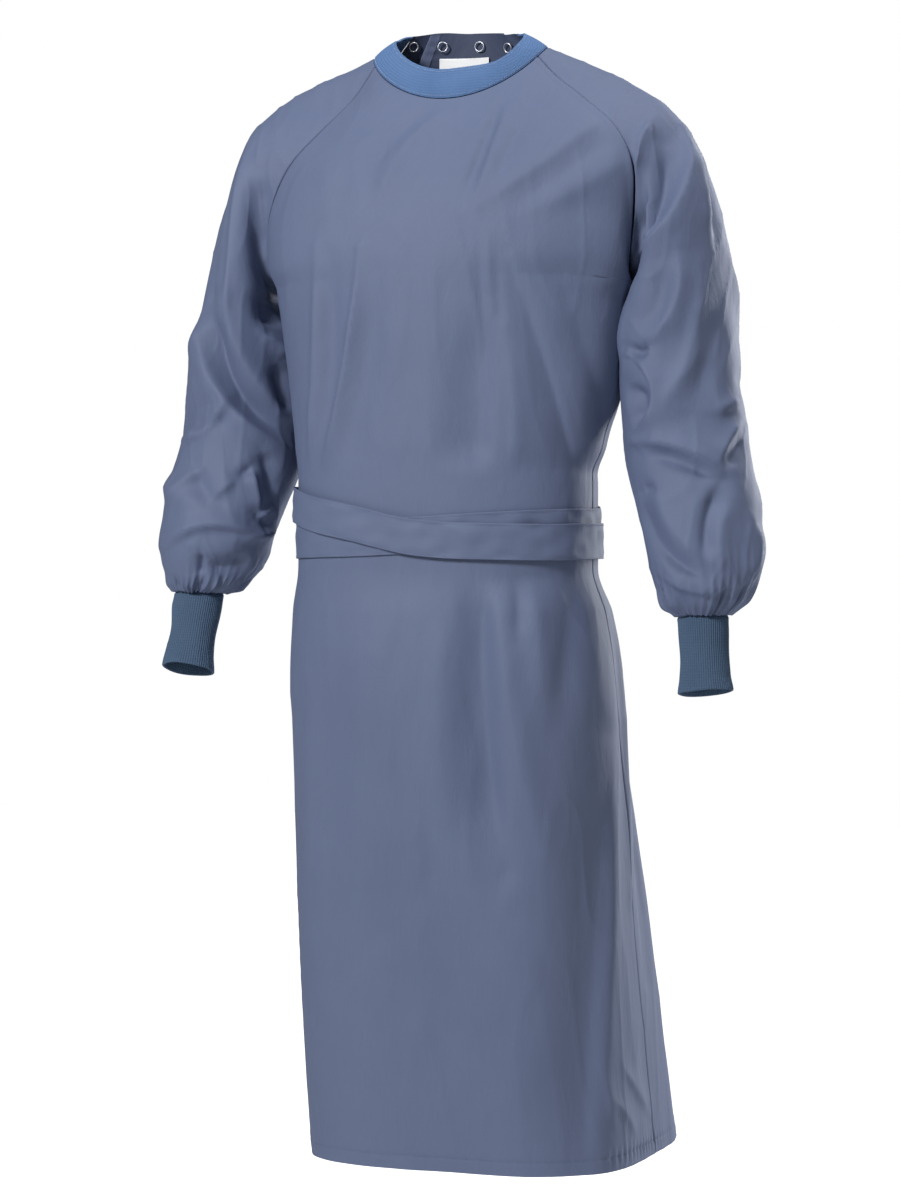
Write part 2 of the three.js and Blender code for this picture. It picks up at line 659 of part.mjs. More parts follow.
function labelGrids(cloth) {
  const face = (depth) => count(3, (r) => count(7, (c) => {
    const column = mix(LABEL.firstColumn, LABEL.lastColumn, c / 6);
    const { point } = insideOf(cloth, LABEL.row, column, depth);
    return add(point, [0, -0.6 * r, (-LABEL.height * r) / 2]);
  }));
  return [face(LABEL.lift), face(LABEL.lift + LABEL.wall)];
}

// Finishes by piece: colour, roughness and metalness
const FINISHES = {
  // colour, roughness, metalness
  cloth: [0x667290, 0.85, 0],
  belt: [0x64708c, 0.85, 0],
  neckKnit: [0x5f80b3, 0.9, 0],
  cuffKnit: [0x41566f, 0.9, 0],
  label: [0xeeeeea, 0.8, 0],
  snap: [0xc4c7cc, 0.3, 1],
};
const FINISH_OF = {
  neck_band: 'neckKnit', cuff_left: 'cuffKnit', cuff_right: 'cuffKnit', belt: 'belt', belt_knot: 'belt',
  neck_label: 'label', snap_ring_1: 'snap', snap_ring_2: 'snap', snap_ring_3: 'snap', snap_ring_4: 'snap',
};

function makeGown() {
  const group = new THREE.Group();
  group.name = 'surgical_gown';
  const place = (name, geometry, position = [0, 0, 0], facing = [0, 0, 1]) => {
    const [color, roughness, metalness] = FINISHES[FINISH_OF[name] || 'cloth'];
    const mesh = new THREE.Mesh(geometry, new THREE.MeshStandardMaterial({ color, roughness, metalness }));
    mesh.name = name;
    mesh.position.set(...position);
    mesh.quaternion.setFromUnitVectors(new THREE.Vector3(0, 0, 1), new THREE.Vector3(...facing));
    group.add(mesh);
  };
  const walled = (cloth) => solidFromGrids(
    cloth.grid,
    cloth.grid.map((row, r) => row.map((p, c) => sub(p, times(cloth.normals[r][c], cloth.wall)))),
    cloth.closed,
    cloth.turn,
  );
  const list = Object.entries(CLOTHS).map(([name, cloth]) => ({ name, ...cloth, grid: cloth.base }));
  shareNormals(list);
  for (const cloth of list) foldCloth(cloth);
  shareNormals(list);
  for (const cloth of list) {
    openSeams(cloth);
    place(cloth.name, walled(cloth));
  }

  const beltBase = beltGrid();
  const belt = plainNormals({ base: beltBase, grid: beltBase, wall: BELT_WALL });
  place('belt', walled({ ...belt, wall: -BELT_WALL, turn: -1 }));
  place('belt_knot', knotGeometry(), bodySurface(KNOT.angle, KNOT.z, KNOT.out));

  const named = Object.fromEntries(list.map((cloth) => [cloth.name, cloth]));
  const ring = new THREE.TorusGeometry(SNAP.ringRadius, SNAP.wireRadius, 6, 18);
  SNAPS.forEach(([panelName, column, lift], i) => {
    const { point, normal } = insideOf(named[panelName], SNAP.row, column, SNAP.wireRadius + lift);
    place(`snap_ring_${i + 1}`, ring, point, normal);
  });
  const [outer, inner] = labelGrids(named.back_panel_under);
  place('neck_label', solidFromGrids(outer, inner, false));
  return group;
}

export default makeGown();
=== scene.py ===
# %% [markdown]
# # A surgical gown in its worn shape
# The gown is woven cloth held in the shape of a wearer who isn't there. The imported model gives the
# frame: where every piece sits and how big it is. This script puts finished cloth on that frame.
# Each panel is worked out again from the same sections as the model, but with many more points, so
# that it can hold creases, gathers, hems and stitches. Sizes are in millimetres until a mesh is made.

# %% Load the frame
import json
import math

import bpy
import numpy as np
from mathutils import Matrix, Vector

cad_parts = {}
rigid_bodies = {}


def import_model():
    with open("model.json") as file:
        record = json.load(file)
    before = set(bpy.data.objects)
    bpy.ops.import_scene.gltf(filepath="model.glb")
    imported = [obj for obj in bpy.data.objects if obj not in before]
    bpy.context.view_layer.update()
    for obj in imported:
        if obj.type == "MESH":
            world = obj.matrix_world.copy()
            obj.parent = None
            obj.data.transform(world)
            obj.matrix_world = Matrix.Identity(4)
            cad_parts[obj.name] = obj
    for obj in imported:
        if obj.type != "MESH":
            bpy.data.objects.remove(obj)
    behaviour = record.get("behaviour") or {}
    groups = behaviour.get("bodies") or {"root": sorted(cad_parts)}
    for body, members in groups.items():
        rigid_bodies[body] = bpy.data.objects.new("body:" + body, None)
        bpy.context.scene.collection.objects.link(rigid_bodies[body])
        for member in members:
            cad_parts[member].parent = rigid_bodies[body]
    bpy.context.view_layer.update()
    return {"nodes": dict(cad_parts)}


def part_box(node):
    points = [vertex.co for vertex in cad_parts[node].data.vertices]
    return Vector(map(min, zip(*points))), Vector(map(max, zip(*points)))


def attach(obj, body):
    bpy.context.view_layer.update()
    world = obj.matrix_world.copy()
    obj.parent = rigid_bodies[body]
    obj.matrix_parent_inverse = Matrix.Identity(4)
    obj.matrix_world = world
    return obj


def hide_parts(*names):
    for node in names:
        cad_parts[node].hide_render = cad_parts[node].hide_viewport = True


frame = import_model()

print("pieces in the frame:", ", ".join(sorted(frame["nodes"])))

# %% [markdown]
# ## Camera
# The picture is taken from a little to the wearer's left, level with the belt and from a few metres
# away, so vertical lines stay upright. A 92 mm lens on a 36 mm frame gives that calm perspective.

# %% Camera
VIEW_TURN = math.radians(20)
VIEW_DISTANCE = 3.5
VIEW_CENTRE = Vector((-0.0161, -0.0059, -0.570))
LENS_MM = 92.1


def make_camera():
    data = bpy.data.cameras.new("photo_camera")
    data.lens = LENS_MM
    data.clip_end = 100
    camera = bpy.data.objects.new("photo_camera", data)
    towards = Vector((-math.sin(VIEW_TURN), math.cos(VIEW_TURN), 0))
    camera.location = VIEW_CENTRE - towards * VIEW_DISTANCE
    camera.rotation_euler = towards.to_track_quat("-Z", "Y").to_euler()
    bpy.context.scene.collection.objects.link(camera)
    bpy.context.scene.camera = camera
    return camera


print("camera at", make_camera().location)

# %% [markdown]
# ## Smooth curves and small helpers
# A garment pattern is a few measurements with smooth curves between them. A table holds the
# measurements, one row for each place, and one function draws the smooth curve through the rows.
# The same function serves sections of the body, rings of the sleeves and the line of the belt.


# %% Helpers
def smooth(low, high, x):
    t = np.clip((np.asarray(x, float) - low) / (high - low), 0, 1)
    return t * t * (3 - 2 * t)


def mix(a, b, t):
    return a + (b - a) * t


def bell(x, width):
    return np.exp(-((x / width) ** 2))


def unit(v):
    return v / np.maximum(np.linalg.norm(v, axis=-1, keepdims=True), 1e-9)


def smooth_path(keys, points, at):
    """Smooth curve through points, one for each key, read at any keys: at's shape, then a point's."""
    keys, points, at = np.asarray(keys, float), np.asarray(points, float), np.asarray(at, float)
    if keys[0] > keys[-1]:
        keys, points = keys[::-1], points[::-1]
    n = len(keys)
    before, after = np.maximum(np.arange(n) - 1, 0), np.minimum(np.arange(n) + 1, n - 1)
    pad = (...,) + (None,) * (points.ndim - 1)
    slope = (points[after] - points[before]) / (keys[after] - keys[before])[pad]
    i = np.clip(np.searchsorted(keys, at, side="right") - 1, 0, n - 2)
    h = (keys[i + 1] - keys[i])[pad]
    t = np.clip((at - keys[i])[pad] / h, 0, 1)
    t2, t3 = t * t, t * t * t
    return (
        (2 * t3 - 3 * t2 + 1) * points[i]
        + (t3 - 2 * t2 + t) * slope[i] * h
        + (3 * t2 - 2 * t3) * points[i + 1]
        + (t3 - t2) * slope[i + 1] * h
    )


def even_path(points, at):
    """Points evenly spaced by length along a smooth path, at shares from 0 to 1."""
    fine = smooth_path(np.arange(len(points)), points, np.linspace(0, len(points) - 1, 161))
    run = np.concatenate([[0], np.cumsum(np.linalg.norm(np.diff(fine, axis=0), axis=1))])
    want = np.asarray(at) * run[-1]
    return np.stack([np.interp(want, run, fine[:, k]) for k in range(3)], axis=-1)


def run_along(points, axis):
    """Distance along the cloth from the first point of each row or column."""
    step = np.linalg.norm(np.diff(points, axis=axis), axis=-1)
    start = np.zeros_like(np.take(step, [0], axis=axis))
    return np.concatenate([start, np.cumsum(step, axis=axis)], axis=axis)


def soft_noise(points, size, seed, waves=14):
    """Smooth unevenness from -1 to 1 or so, its bumps about size wide (a number, or x, y, z sizes)."""
    dice = np.random.default_rng(seed)
    total = np.zeros(points.shape[:-1])
    for _ in range(waves):
        direction = unit(dice.normal(size=3))
        wave = direction * dice.uniform(0.6, 1.5) * math.pi / np.asarray(size, float)
        total += np.sin(points @ (wave * np.ones(3)) + dice.uniform(0, 2 * math.pi))
    return total / math.sqrt(waves)


# %% [markdown]
# ## The body of the gown
# Round the body the gown is one smooth tube: full at the chest, drawn in by the belt, and falling
# free to the hem. Each row of the table is one level cut through it. A squared-off ellipse suits
# worn cloth, which lies flatter over the chest and back than a true ellipse does.

# %% Body sections
BODY_SECTIONS = np.array([
    # z, x, y, half width, half depth, squareness (2 is an ellipse)
    [-215, -6, -22, 207, 127, 2.3],
    [-273, -4, -25, 198, 125, 2.3],
    [-342, -3, -28, 188, 122, 2.3],
    [-400, -6, -31, 177, 121, 2.3],
    [-425, -9, -34, 172, 119, 2.3],
    [-440, -9, -34, 172, 119, 2.3],
    [-530, -9, -34, 172, 119, 2.3],
    [-545, -9, -34, 173, 120, 2.3],
    [-585, -7, -33, 181, 130, 2.4],
    [-660, -5, -25, 186, 141, 2.6],
    [-795, 2, -5, 188, 154, 2.8],
    [-930, 5, 20, 190, 166, 3.1],
    [-1065, 10, 42, 192, 178, 3.4],
    [-1197, 17, 58, 193, 190, 3.6],
])
UNDERARM_Z, BELT_TOP_Z, BELT_LOW_Z, HEM_Z = -215, -440, -530, -1197


def body_point(angle, z):
    """On the body at an angle round it: 0 is the wearer's left, -90 the front, 90 the back."""
    angle, z = np.broadcast_arrays(np.asarray(angle, float), np.asarray(z, float))
    section = smooth_path(BODY_SECTIONS[:, 0], BODY_SECTIONS[:, 1:], z)
    x, y, half_width, half_depth, power = np.moveaxis(section, -1, 0)
    c, s = np.cos(np.radians(angle)), np.sin(np.radians(angle))
    r = (np.abs(c / half_width) ** power + np.abs(s / half_depth) ** power) ** (-1 / power)
    return np.stack([x + r * c, y + r * s, z], axis=-1)


print("gown length below the underarm:", UNDERARM_Z - HEM_Z, "mm")

# %% [markdown]
# ## Neck and raglan seams
# A raglan sleeve runs right up to the neck, so each seam goes from the underarm to the neck band in
# one curve. The neck is two rings, one under the band and one at its top edge. The seams are
# smooth paths through a few given points, and every panel that meets there uses the same path.

# %% Neck and seams
# square: how far the ring is pulled out of an oval at the wearer's left front
# back_lift: mm that it is higher at the right back
NECK_RINGS = [
    dict(x=1, y=-18, half_width=104, front=46, back=60, front_z=-7, side_z=51, back_z=46,
         square=0, back_lift=0),
    dict(x=-3, y=-18, half_width=74, front=38, back=56, front_z=26, side_z=68, back_z=82,
         square=1.2, back_lift=5),
]
NECK_PULL = 9  # mm that a square of 1 moves the left front outwards
NECK_FRONT_CORNER, NECK_BACK_CORNER = -20, 28
RAGLAN = {
    ("left", "front"): [
        [211, -50, -192], [221, -68, -136], [222, -78, -90], [202, -76, -50], [160, -60, -14],
        [124, -44, 14],
    ],
    ("left", "back"): [[204, 10, -203], [215, 46, -138], [203, 65, -70], [170, 63, -8], [132, 38, 34]],
    ("right", "front"): [
        [-217, -50, -195], [-216, -66, -152], [-203, -76, -112], [-181, -76, -72], [-150, -64, -36],
        [-118, -45, 2],
    ],
    ("right", "back"): [[-216, 8, -201], [-218, 46, -135], [-203, 65, -70], [-170, 63, -8], [-132, 38, 34]],
}
SIDE = {"left": 1, "right": -1}


def side_angle(side, angle):
    return angle if SIDE[side] > 0 else 180 - angle


def neck_point(angle, share):
    """On the neck, at an angle round it and a share of the way up from the seam to the top edge."""
    angle, share = np.broadcast_arrays(np.asarray(angle, float), np.asarray(share, float))
    c, s = np.cos(np.radians(angle)), np.sin(np.radians(angle))
    ends = []
    for ring in NECK_RINGS:
        depth = np.where(s < 0, ring["front"], ring["back"])
        far_z = np.where(s < 0, ring["front_z"], ring["back_z"])
        left_front = smooth(0, 0.5, c) * smooth(0.4, -0.3, s) * ring["square"]
        z = mix(ring["side_z"], far_z, np.abs(s) ** (1.5 - 0.3 * left_front))
        z = z + ring["back_lift"] * smooth(0, -0.6, c) * smooth(0, 0.4, s)
        power = 2 / (2 + ring["square"] * smooth(0, 0.5, c) * smooth(0, -0.5, s))
        x = ring["x"] + ring["half_width"] * np.sign(c) * np.abs(c) ** power + NECK_PULL * left_front
        ends.append(np.stack([x, ring["y"] + depth * np.sign(s) * np.abs(s) ** power, z], axis=-1))
    return mix(ends[0], ends[1], share[..., None])


def raglan_seam(side, face, t):
    """The seam between a sleeve and a panel, from the underarm at 0 to the neck at 1."""
    start = body_point(side_angle(side, 0), UNDERARM_Z)
    corner = NECK_FRONT_CORNER if face == "front" else NECK_BACK_CORNER
    end = neck_point(side_angle(side, corner), 0)
    return even_path(np.array([start, *RAGLAN[side, face], end]), t)


for side, face in RAGLAN:
    seam = raglan_seam(side, face, np.linspace(0, 1, 50))
    print(f"{side} {face} raglan seam: {run_along(seam, 0)[-1]:.0f} mm")

# %% [markdown]
# ## Panels above the underarm
# Between the two seams a panel is a patch: it blends from its lower edge to its upper edge, takes
# the seams' bend at its sides and loses it quickly away from them, and swells a little over the
# chest or the shoulder blades. A Coons patch, the usual way to fill four edges, would carry the
# seams' bend right across the chest.

# %% Panel patches
SEAM_FADE = 4.5


def patch_point(face, s, t):
    """Across the panel from the wearer's right seam, s 0, to the left seam, s 1; up from t 0 to 1."""
    way = -1 if face == "front" else 1
    corner = NECK_FRONT_CORNER if face == "front" else NECK_BACK_CORNER
    s, t = np.broadcast_arrays(s, t)

    def low(share):
        return body_point(mix(way * 180, 0, share), UNDERARM_Z)

    def top(share):
        return neck_point(mix(way * 180 - corner, corner, share), 0)

    one = t[..., None]
    first_bend = raglan_seam("right", face, t) - mix(low(0.0), top(0.0), one)
    last_bend = raglan_seam("left", face, t) - mix(low(1.0), top(1.0), one)
    point = mix(low(s), top(s), one)
    point = point + first_bend * (1 - s[..., None]) ** SEAM_FADE + last_bend * s[..., None] ** SEAM_FADE
    swell = {"front": -16, "back": 18}[face]
    point[..., 1] += swell * np.sin(math.pi * t) * np.sin(math.pi * s)
    return point


def graded(cells, near_first=(), near_last=(), more=()):
    """Even shares from 0 to 1, with more near the ends and anywhere else that has fine shape."""
    even = np.linspace(0, 1, cells + 1)
    shares = np.sort(np.concatenate([even, near_first, 1 - np.array(near_last), more]))
    kept = np.diff(shares, prepend=-1) > 0.15 / cells
    kept[-1] = True
    return shares[kept]


print("middle of the chest:", patch_point("front", np.array(0.5), np.array(0.5)).round())


# %% [markdown]
# ## Folds
# Folds show how cloth hangs, so they are placed where the picture shows them, and similar
# ones are placed behind. A table has a list for each side that folds are seen square on from. Each
# row is one fold: where it starts and ends, how far it bows sideways, how wide it is, and how far it
# stands out, or in for a trough. A sharp fold has a creased crest, and one that leans is steeper on
# one side. A cloth simulation was the other choice, but it would not put the folds where they are.

# %% Fold shapes
# which way each view is turned, in degrees; the front one is the picture's
FRONT_VIEW, BACK_VIEW, LEFT_VIEW, RIGHT_VIEW = 20, 200, 100, -80


def fold_height(points, normals, folds):
    """How far the folds of a table move each point along its normal, in mm."""
    height = np.zeros(points.shape[:-1])
    for view, rows in folds.items():
        c, s = math.cos(math.radians(view)), math.sin(math.radians(view))
        u, v = points[..., 0] * c + points[..., 1] * s, points[..., 2]
        facing = smooth(0, 0.4, normals[..., 0] * s - normals[..., 1] * c)
        for x0, z0, x1, z1, bow, half_width, rise, sharp, lean in rows:
            dx, dz = x1 - x0, z1 - z0
            length = math.hypot(dx, dz)
            along = ((u - x0) * dx + (v - z0) * dz) / length**2
            inside = np.clip(along, 0, 1)
            aside = ((u - x0) * dz - (v - z0) * dx) / length - bow * 4 * inside * (1 - inside)
            scale = half_width * (1 + lean * np.tanh(aside / (0.3 * half_width)))
            away = np.hypot(aside, (along - inside) * length) / scale
            ends = smooth(0, 0.3, inside) * smooth(1, 0.7, inside) * 0.7 + 0.3
            height += facing * rise * ends * np.exp(-(away ** (2 - 0.9 * sharp)))
    return height


# %% Folds of the body
BODY_FOLDS = {
    # x0, z0, x1, z1, bow, half width, height, sharp, lean
    FRONT_VIEW: [
        [-168, -174, -175, -441, -5, 7, 8, 0.9, -0.4],  # left thin ridge
        [-152, -187, -163, -428, -9, 10, -4.5, 0.2, 0],  # beside it
        [-117, -181, -164, -443, -9, 8, 10.5, 1, -0.5],  # second ridge
        [-101, -209, -137, -439, -8, 15, -3.5, 0.1, 0],  # beside it 2
        [15, -174, 18, -274, 0, 6, -1.6, 0.4, 0],  # twin line a
        [32, -176, 38, -280, 1, 6, -1.6, 0.4, 0],  # twin line b
        [24, -176, 28, -274, 1, 6, 1, 0.3, 0],  # between them
        [21, -242, 12, -474, 4, 22, -8.5, 0, 0.3],  # centre trough
        [44, -274, 47, -471, -9, 13, 4, 0.3, -0.3],  # ridge at its right
        [42, -192, 132, -466, -4, 12, -4.5, 0.4, 0.5],  # diagonal line
        [60, -200, 148, -460, -10, 16, 2.6, 0.4, -0.4],  # ridge over it
        [110, -242, 160, -406, -3, 12, -3.5, 0.2, 0],  # outer diagonal
        [-49, -242, -27, -466, 5, 22, 3, 0, 0],  # left of centre swell
        [-77, -198, -76, -460, 3, 16, 2.5, 0.1, 0],  # faint upright
        [-88, -428, -90, -474, 0, 10, -2.5, 0.2, 0],  # under belt left
        [-18, -21, -77, -77, 1, 9, 4.5, 0.5, -0.3],  # neck ridge a
        [-44, -20, -87, -66, 0, 7, -2.5, 0.4, 0],  # neck ridge a low
        [38, -19, -2, -128, 0, 8, -4, 0.5, -0.4],  # neck ridge b
        [47, -22, 10, -132, -1, 8, 4, 0.5, -0.4],  # neck ridge b light
        [69, -33, 30, -112, -1, 8, -2.5, 0.5, 0],  # neck ridge c
        [-93, -42, -102, -88, -9, 8, -3, 0.4, 0],  # neck ridge d
        [-67, -77, -95, -121, 2, 10, 3, 0.3, 0],  # neck ridge e
        [161, -31, 14, -139, -4, 15, 4, 0.4, 0.4],  # broad pull a
        [172, -55, 55, -141, -1, 13, -2.6, 0.3, 0],  # broad trough
        [187, -77, 71, -147, -4, 17, 3, 0.4, 0.3],  # broad pull b
        [185, -132, 104, -148, 2, 20, -1.6, 0.1, 0],  # low trough
        [16, -526, 38, -863, 11, 24, -18, 0, 0.3],  # main trough
        [26, -526, 85, -844, 7, 15, 5, 0.1, -0.2],  # ridge at its right
        [5, -548, -14, -855, 25, 20, 4, 0, 0],  # light swell at its left
        [50, -528, 55, -614, -4, 8, -4, 0.3, -0.3],  # short trough
        [124, -500, 104, -696, -1, 15, -5, 0, 0],  # third trough
        [71, -537, 84, -701, -2, 14, 4, 0.1, 0],  # swell between
        [149, -723, 124, -1216, -5, 24, -13, 0, 0.4],  # wide shade
        [148, -526, 150, -1085, -10, 19, 8, 0.4, 0.4],  # bright ridge
        [120, -217, 215, -213, 0, 15, 6, 0, 0],  # soft turn under the arm
        [152, -1085, 163, -1145, 0, 6, 3, 0.5, -0.4],  # hem pull a
        [175, -1087, 209, -1150, 0, 6, 3, 0.5, -0.4],  # hem pull b
        [161, -1118, 192, -1172, -4, 6, 2.5, 0.5, -0.3],  # hem pull c
        [-177, -658, -181, -898, -4, 12, 3, 0.1, 0],  # left edge swell
        [-43, -811, -45, -898, -6, 12, -2.5, 0, 0],  # faint trough a
        [-104, -548, -102, -1172, 5, 30, 3.5, 0, 0],  # long faint a
        [-142, -570, -131, -1183, 10, 22, -3.5, 0, 0],  # long faint b
        [60, -898, 49, -1194, 1, 30, 4, 0, 0],  # long faint c
        [-22, -898, -11, -1194, -1, 26, -3, 0, 0],  # long faint d
        [168, -140, 160, -400, 0, 38, 10, 0, 0],  # fullness beside the arm
    ],
    # pulls from the neck, and long folds above and below the belt
    BACK_VIEW: [
        [-120, -40, -40, -160, 6, 18, 5, 0.3, 0],
        [110, -40, 50, -170, -6, 18, 5, 0.3, 0],
        [-60, -200, -90, -440, 6, 18, -7, 0.1, 0],
        [70, -210, 40, -440, -6, 20, -7, 0.1, 0],
        [-10, -180, -6, -430, 3, 18, 5, 0.2, 0],
        [112, -260, 96, -446, 6, 12, 5, 0.5, 0.2],
        [-124, -240, -118, -440, 6, 12, 5, 0.5, 0.2],
        [-150, -550, -160, -1290, 4, 24, 9, 0.2, 0],
        [-112, -540, -116, -860, 4, 14, -7, 0.1, 0],
        [-80, -560, -84, -1290, 4, 24, -8, 0, 0],
        [-48, -540, -50, -900, -4, 12, 5, 0.4, 0],
        [-20, -560, -30, -1290, 6, 28, 7, 0.1, 0],
        [20, -540, 26, -800, 0, 12, -6, 0.2, 0],
        [60, -560, 70, -1290, -6, 26, -8, 0, 0],
        [104, -540, 108, -960, 4, 14, 6, 0.3, 0],
        [140, -560, 150, -1290, 4, 22, 9, 0.2, 0],
    ],
    LEFT_VIEW: [
        [-20, -545, -26, -900, 4, 14, 6, 0.3, 0],
        [24, -545, 34, -1000, 4, 16, -7, 0.1, 0],
        [-10, -260, -16, -440, 4, 14, -5, 0.2, 0],
        [-30, -212, -30, -320, 0, 34, 4, 0, 0],  # cloth that rests against the sleeve
    ],
    RIGHT_VIEW: [
        [20, -545, 26, -900, 4, 14, 6, 0.3, 0],
        [-24, -545, -40, -1000, 4, 18, -7, 0.1, 0],
        [6, -260, 10, -440, 4, 14, -5, 0.2, 0],
    ],
}
print("folds placed on the body:", sum(len(rows) for rows in BODY_FOLDS.values()))

# %% [markdown]
# ## Cloth pieces as grids
# Every piece of cloth is a grid: rows run down it and columns across it. A grid keeps its own
# distances in millimetres, which place stitches and hems and scale the weave, so nothing depends
# on how dense the mesh is. Normals point out of the gown. The last step turns a grid into a mesh
# whose UV map is the cloth's real size in metres.


# %% Grid to mesh
def grid_normals(points, closed, turn):
    if closed:
        across = np.roll(points, -1, axis=1) - np.roll(points, 1, axis=1)
    else:
        across = np.gradient(points, axis=1)
    return unit(np.cross(np.gradient(points, axis=0), across)) * turn


def finished(name, mesh, material):
    """The mesh as one named object that belongs to the gown."""
    mesh.materials.append(material)
    obj = bpy.data.objects.new(name, mesh)
    bpy.context.scene.collection.objects.link(obj)
    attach(obj, "root")
    return obj


def cloth_object(name, points, closed, turn, material):
    """One named object from a grid of points in mm; closed joins the last column to the first."""
    rows, columns = points.shape[:2]
    uv = np.stack([run_along(points, 1), -run_along(points, 0)], axis=-1) / 1000
    across = columns if closed else columns - 1
    r, c = np.meshgrid(np.arange(rows - 1), np.arange(across), indexing="ij")
    here, beside = r * columns + c, r * columns + (c + 1) % columns
    corners = [here, here + columns, beside + columns, beside][::turn]
    faces = np.stack(corners, axis=-1).reshape(-1, 4)
    mesh = bpy.data.meshes.new(name)
    mesh.from_pydata((points.reshape(-1, 3) / 1000).tolist(), [], faces.tolist())
    mesh.polygons.foreach_set("use_smooth", np.ones(len(faces), bool))
    flat_uv = uv.reshape(-1, 2)[faces.reshape(-1)]
    if closed:
        girth = run_along(np.concatenate([points, points[:, :1]], axis=1), 1)[:, -1] / 1000
        last = (faces % columns == columns - 1).any(1) & (faces % columns == 0).any(1)
        wrap = (last[:, None] & (faces % columns == 0)).reshape(-1)
        flat_uv[wrap, 0] = girth[(faces // columns).reshape(-1)[wrap]]
    layer = mesh.uv_layers.new(name="cloth_metres")
    layer.data.foreach_set("uv", flat_uv.astype(np.float32).reshape(-1))
    mesh.update()
    widest, longest = flat_uv[:, 0].max() * 1000, -flat_uv[:, 1].min() * 1000
    print(f"{name}: {len(faces)} faces, at most {widest:.0f} mm across and {longest:.0f} mm down")
    return finished(name, mesh, material)


def stitch_row(name, points, normals, material, pitch=3.2, length=2.2, thick=0.55):
    """A row of small thread stitches along a line of points, each a slim eight-sided bead."""
    run = run_along(points, 0)
    middles = np.arange(pitch / 2, run[-1], pitch)

    def at(values, where):
        return np.stack([np.interp(where, run, values[:, k]) for k in range(3)], axis=-1)

    centre, out = at(points, middles), unit(at(normals, middles))
    ahead = unit(at(points, middles + 0.5) - at(points, middles - 0.5))
    aside = np.cross(out, ahead)
    tip, side, top = ahead * length / 2, aside * thick / 2, out * thick / 2
    lift = centre + out * thick * 0.2
    corners = np.stack([lift + way for way in (tip, side, -tip, -side, top, -top)], axis=1) / 1000
    one = np.array([[0, 1, 4], [1, 2, 4], [2, 3, 4], [3, 0, 4], [1, 0, 5], [2, 1, 5], [3, 2, 5], [0, 3, 5]])
    faces = (one[None] + 6 * np.arange(len(centre))[:, None, None]).reshape(-1, 3)
    mesh = bpy.data.meshes.new(name)
    mesh.from_pydata(corners.reshape(-1, 3).tolist(), [], faces.tolist())
    print(f"{name}: {len(centre)} stitches")
    return finished(name, mesh, material)


# %% [markdown]
# ## Materials
# The cloth is a tightly woven polyester, matt with a faint sheen at grazing angles. Its threads are
# about 0.15 mm apart, too fine to show here, so the weave is drawn at 0.9 mm and kept very faint.
# Threads and creases are shallow bumps, and soft patches vary the colour as laundered cloth does.

# %% Colours and nodes


def linear(hex_colour):
    """A colour as a shader wants it, from its sRGB hex value."""
    channels = [int(hex_colour[i : i + 2], 16) / 255 for i in (1, 3, 5)]
    return [c / 12.92 if c <= 0.04045 else ((c + 0.055) / 1.055) ** 2.4 for c in channels] + [1]


def add_node(tree, kind, settings=(), **links):
    """A node with its settings; inputs are set or linked by name (_ for a space) or number (i6)."""
    node = tree.nodes.new(kind)
    for key, value in dict(settings).items():
        setattr(node, key, value)
    for key, value in links.items():
        by_number = key[0] == "i" and key[1:].isdigit()
        socket = node.inputs[int(key[1:]) if by_number else key.replace("_", " ")]
        if isinstance(value, bpy.types.NodeSocket):
            tree.links.new(value, socket)
        else:
            socket.default_value = value
    return node


def new_material(name):
    material = bpy.data.materials.new(name)
    material.use_nodes = True
    material.node_tree.nodes.clear()
    return material, material.node_tree


white = linear("#ffffff")
print("white as a shader wants it:", white)

# %% Woven polyester
WEAVE_MM = 0.9
# how much the inside face of the cloth is darkened: painted shade for the shadow inside the gown
INSIDE_PAINTED_SHADE = "#a8aebb"
# scale of a wave texture that repeats every two threads, for threads a metre apart
WAVE_SCALE = 3.14 / 20


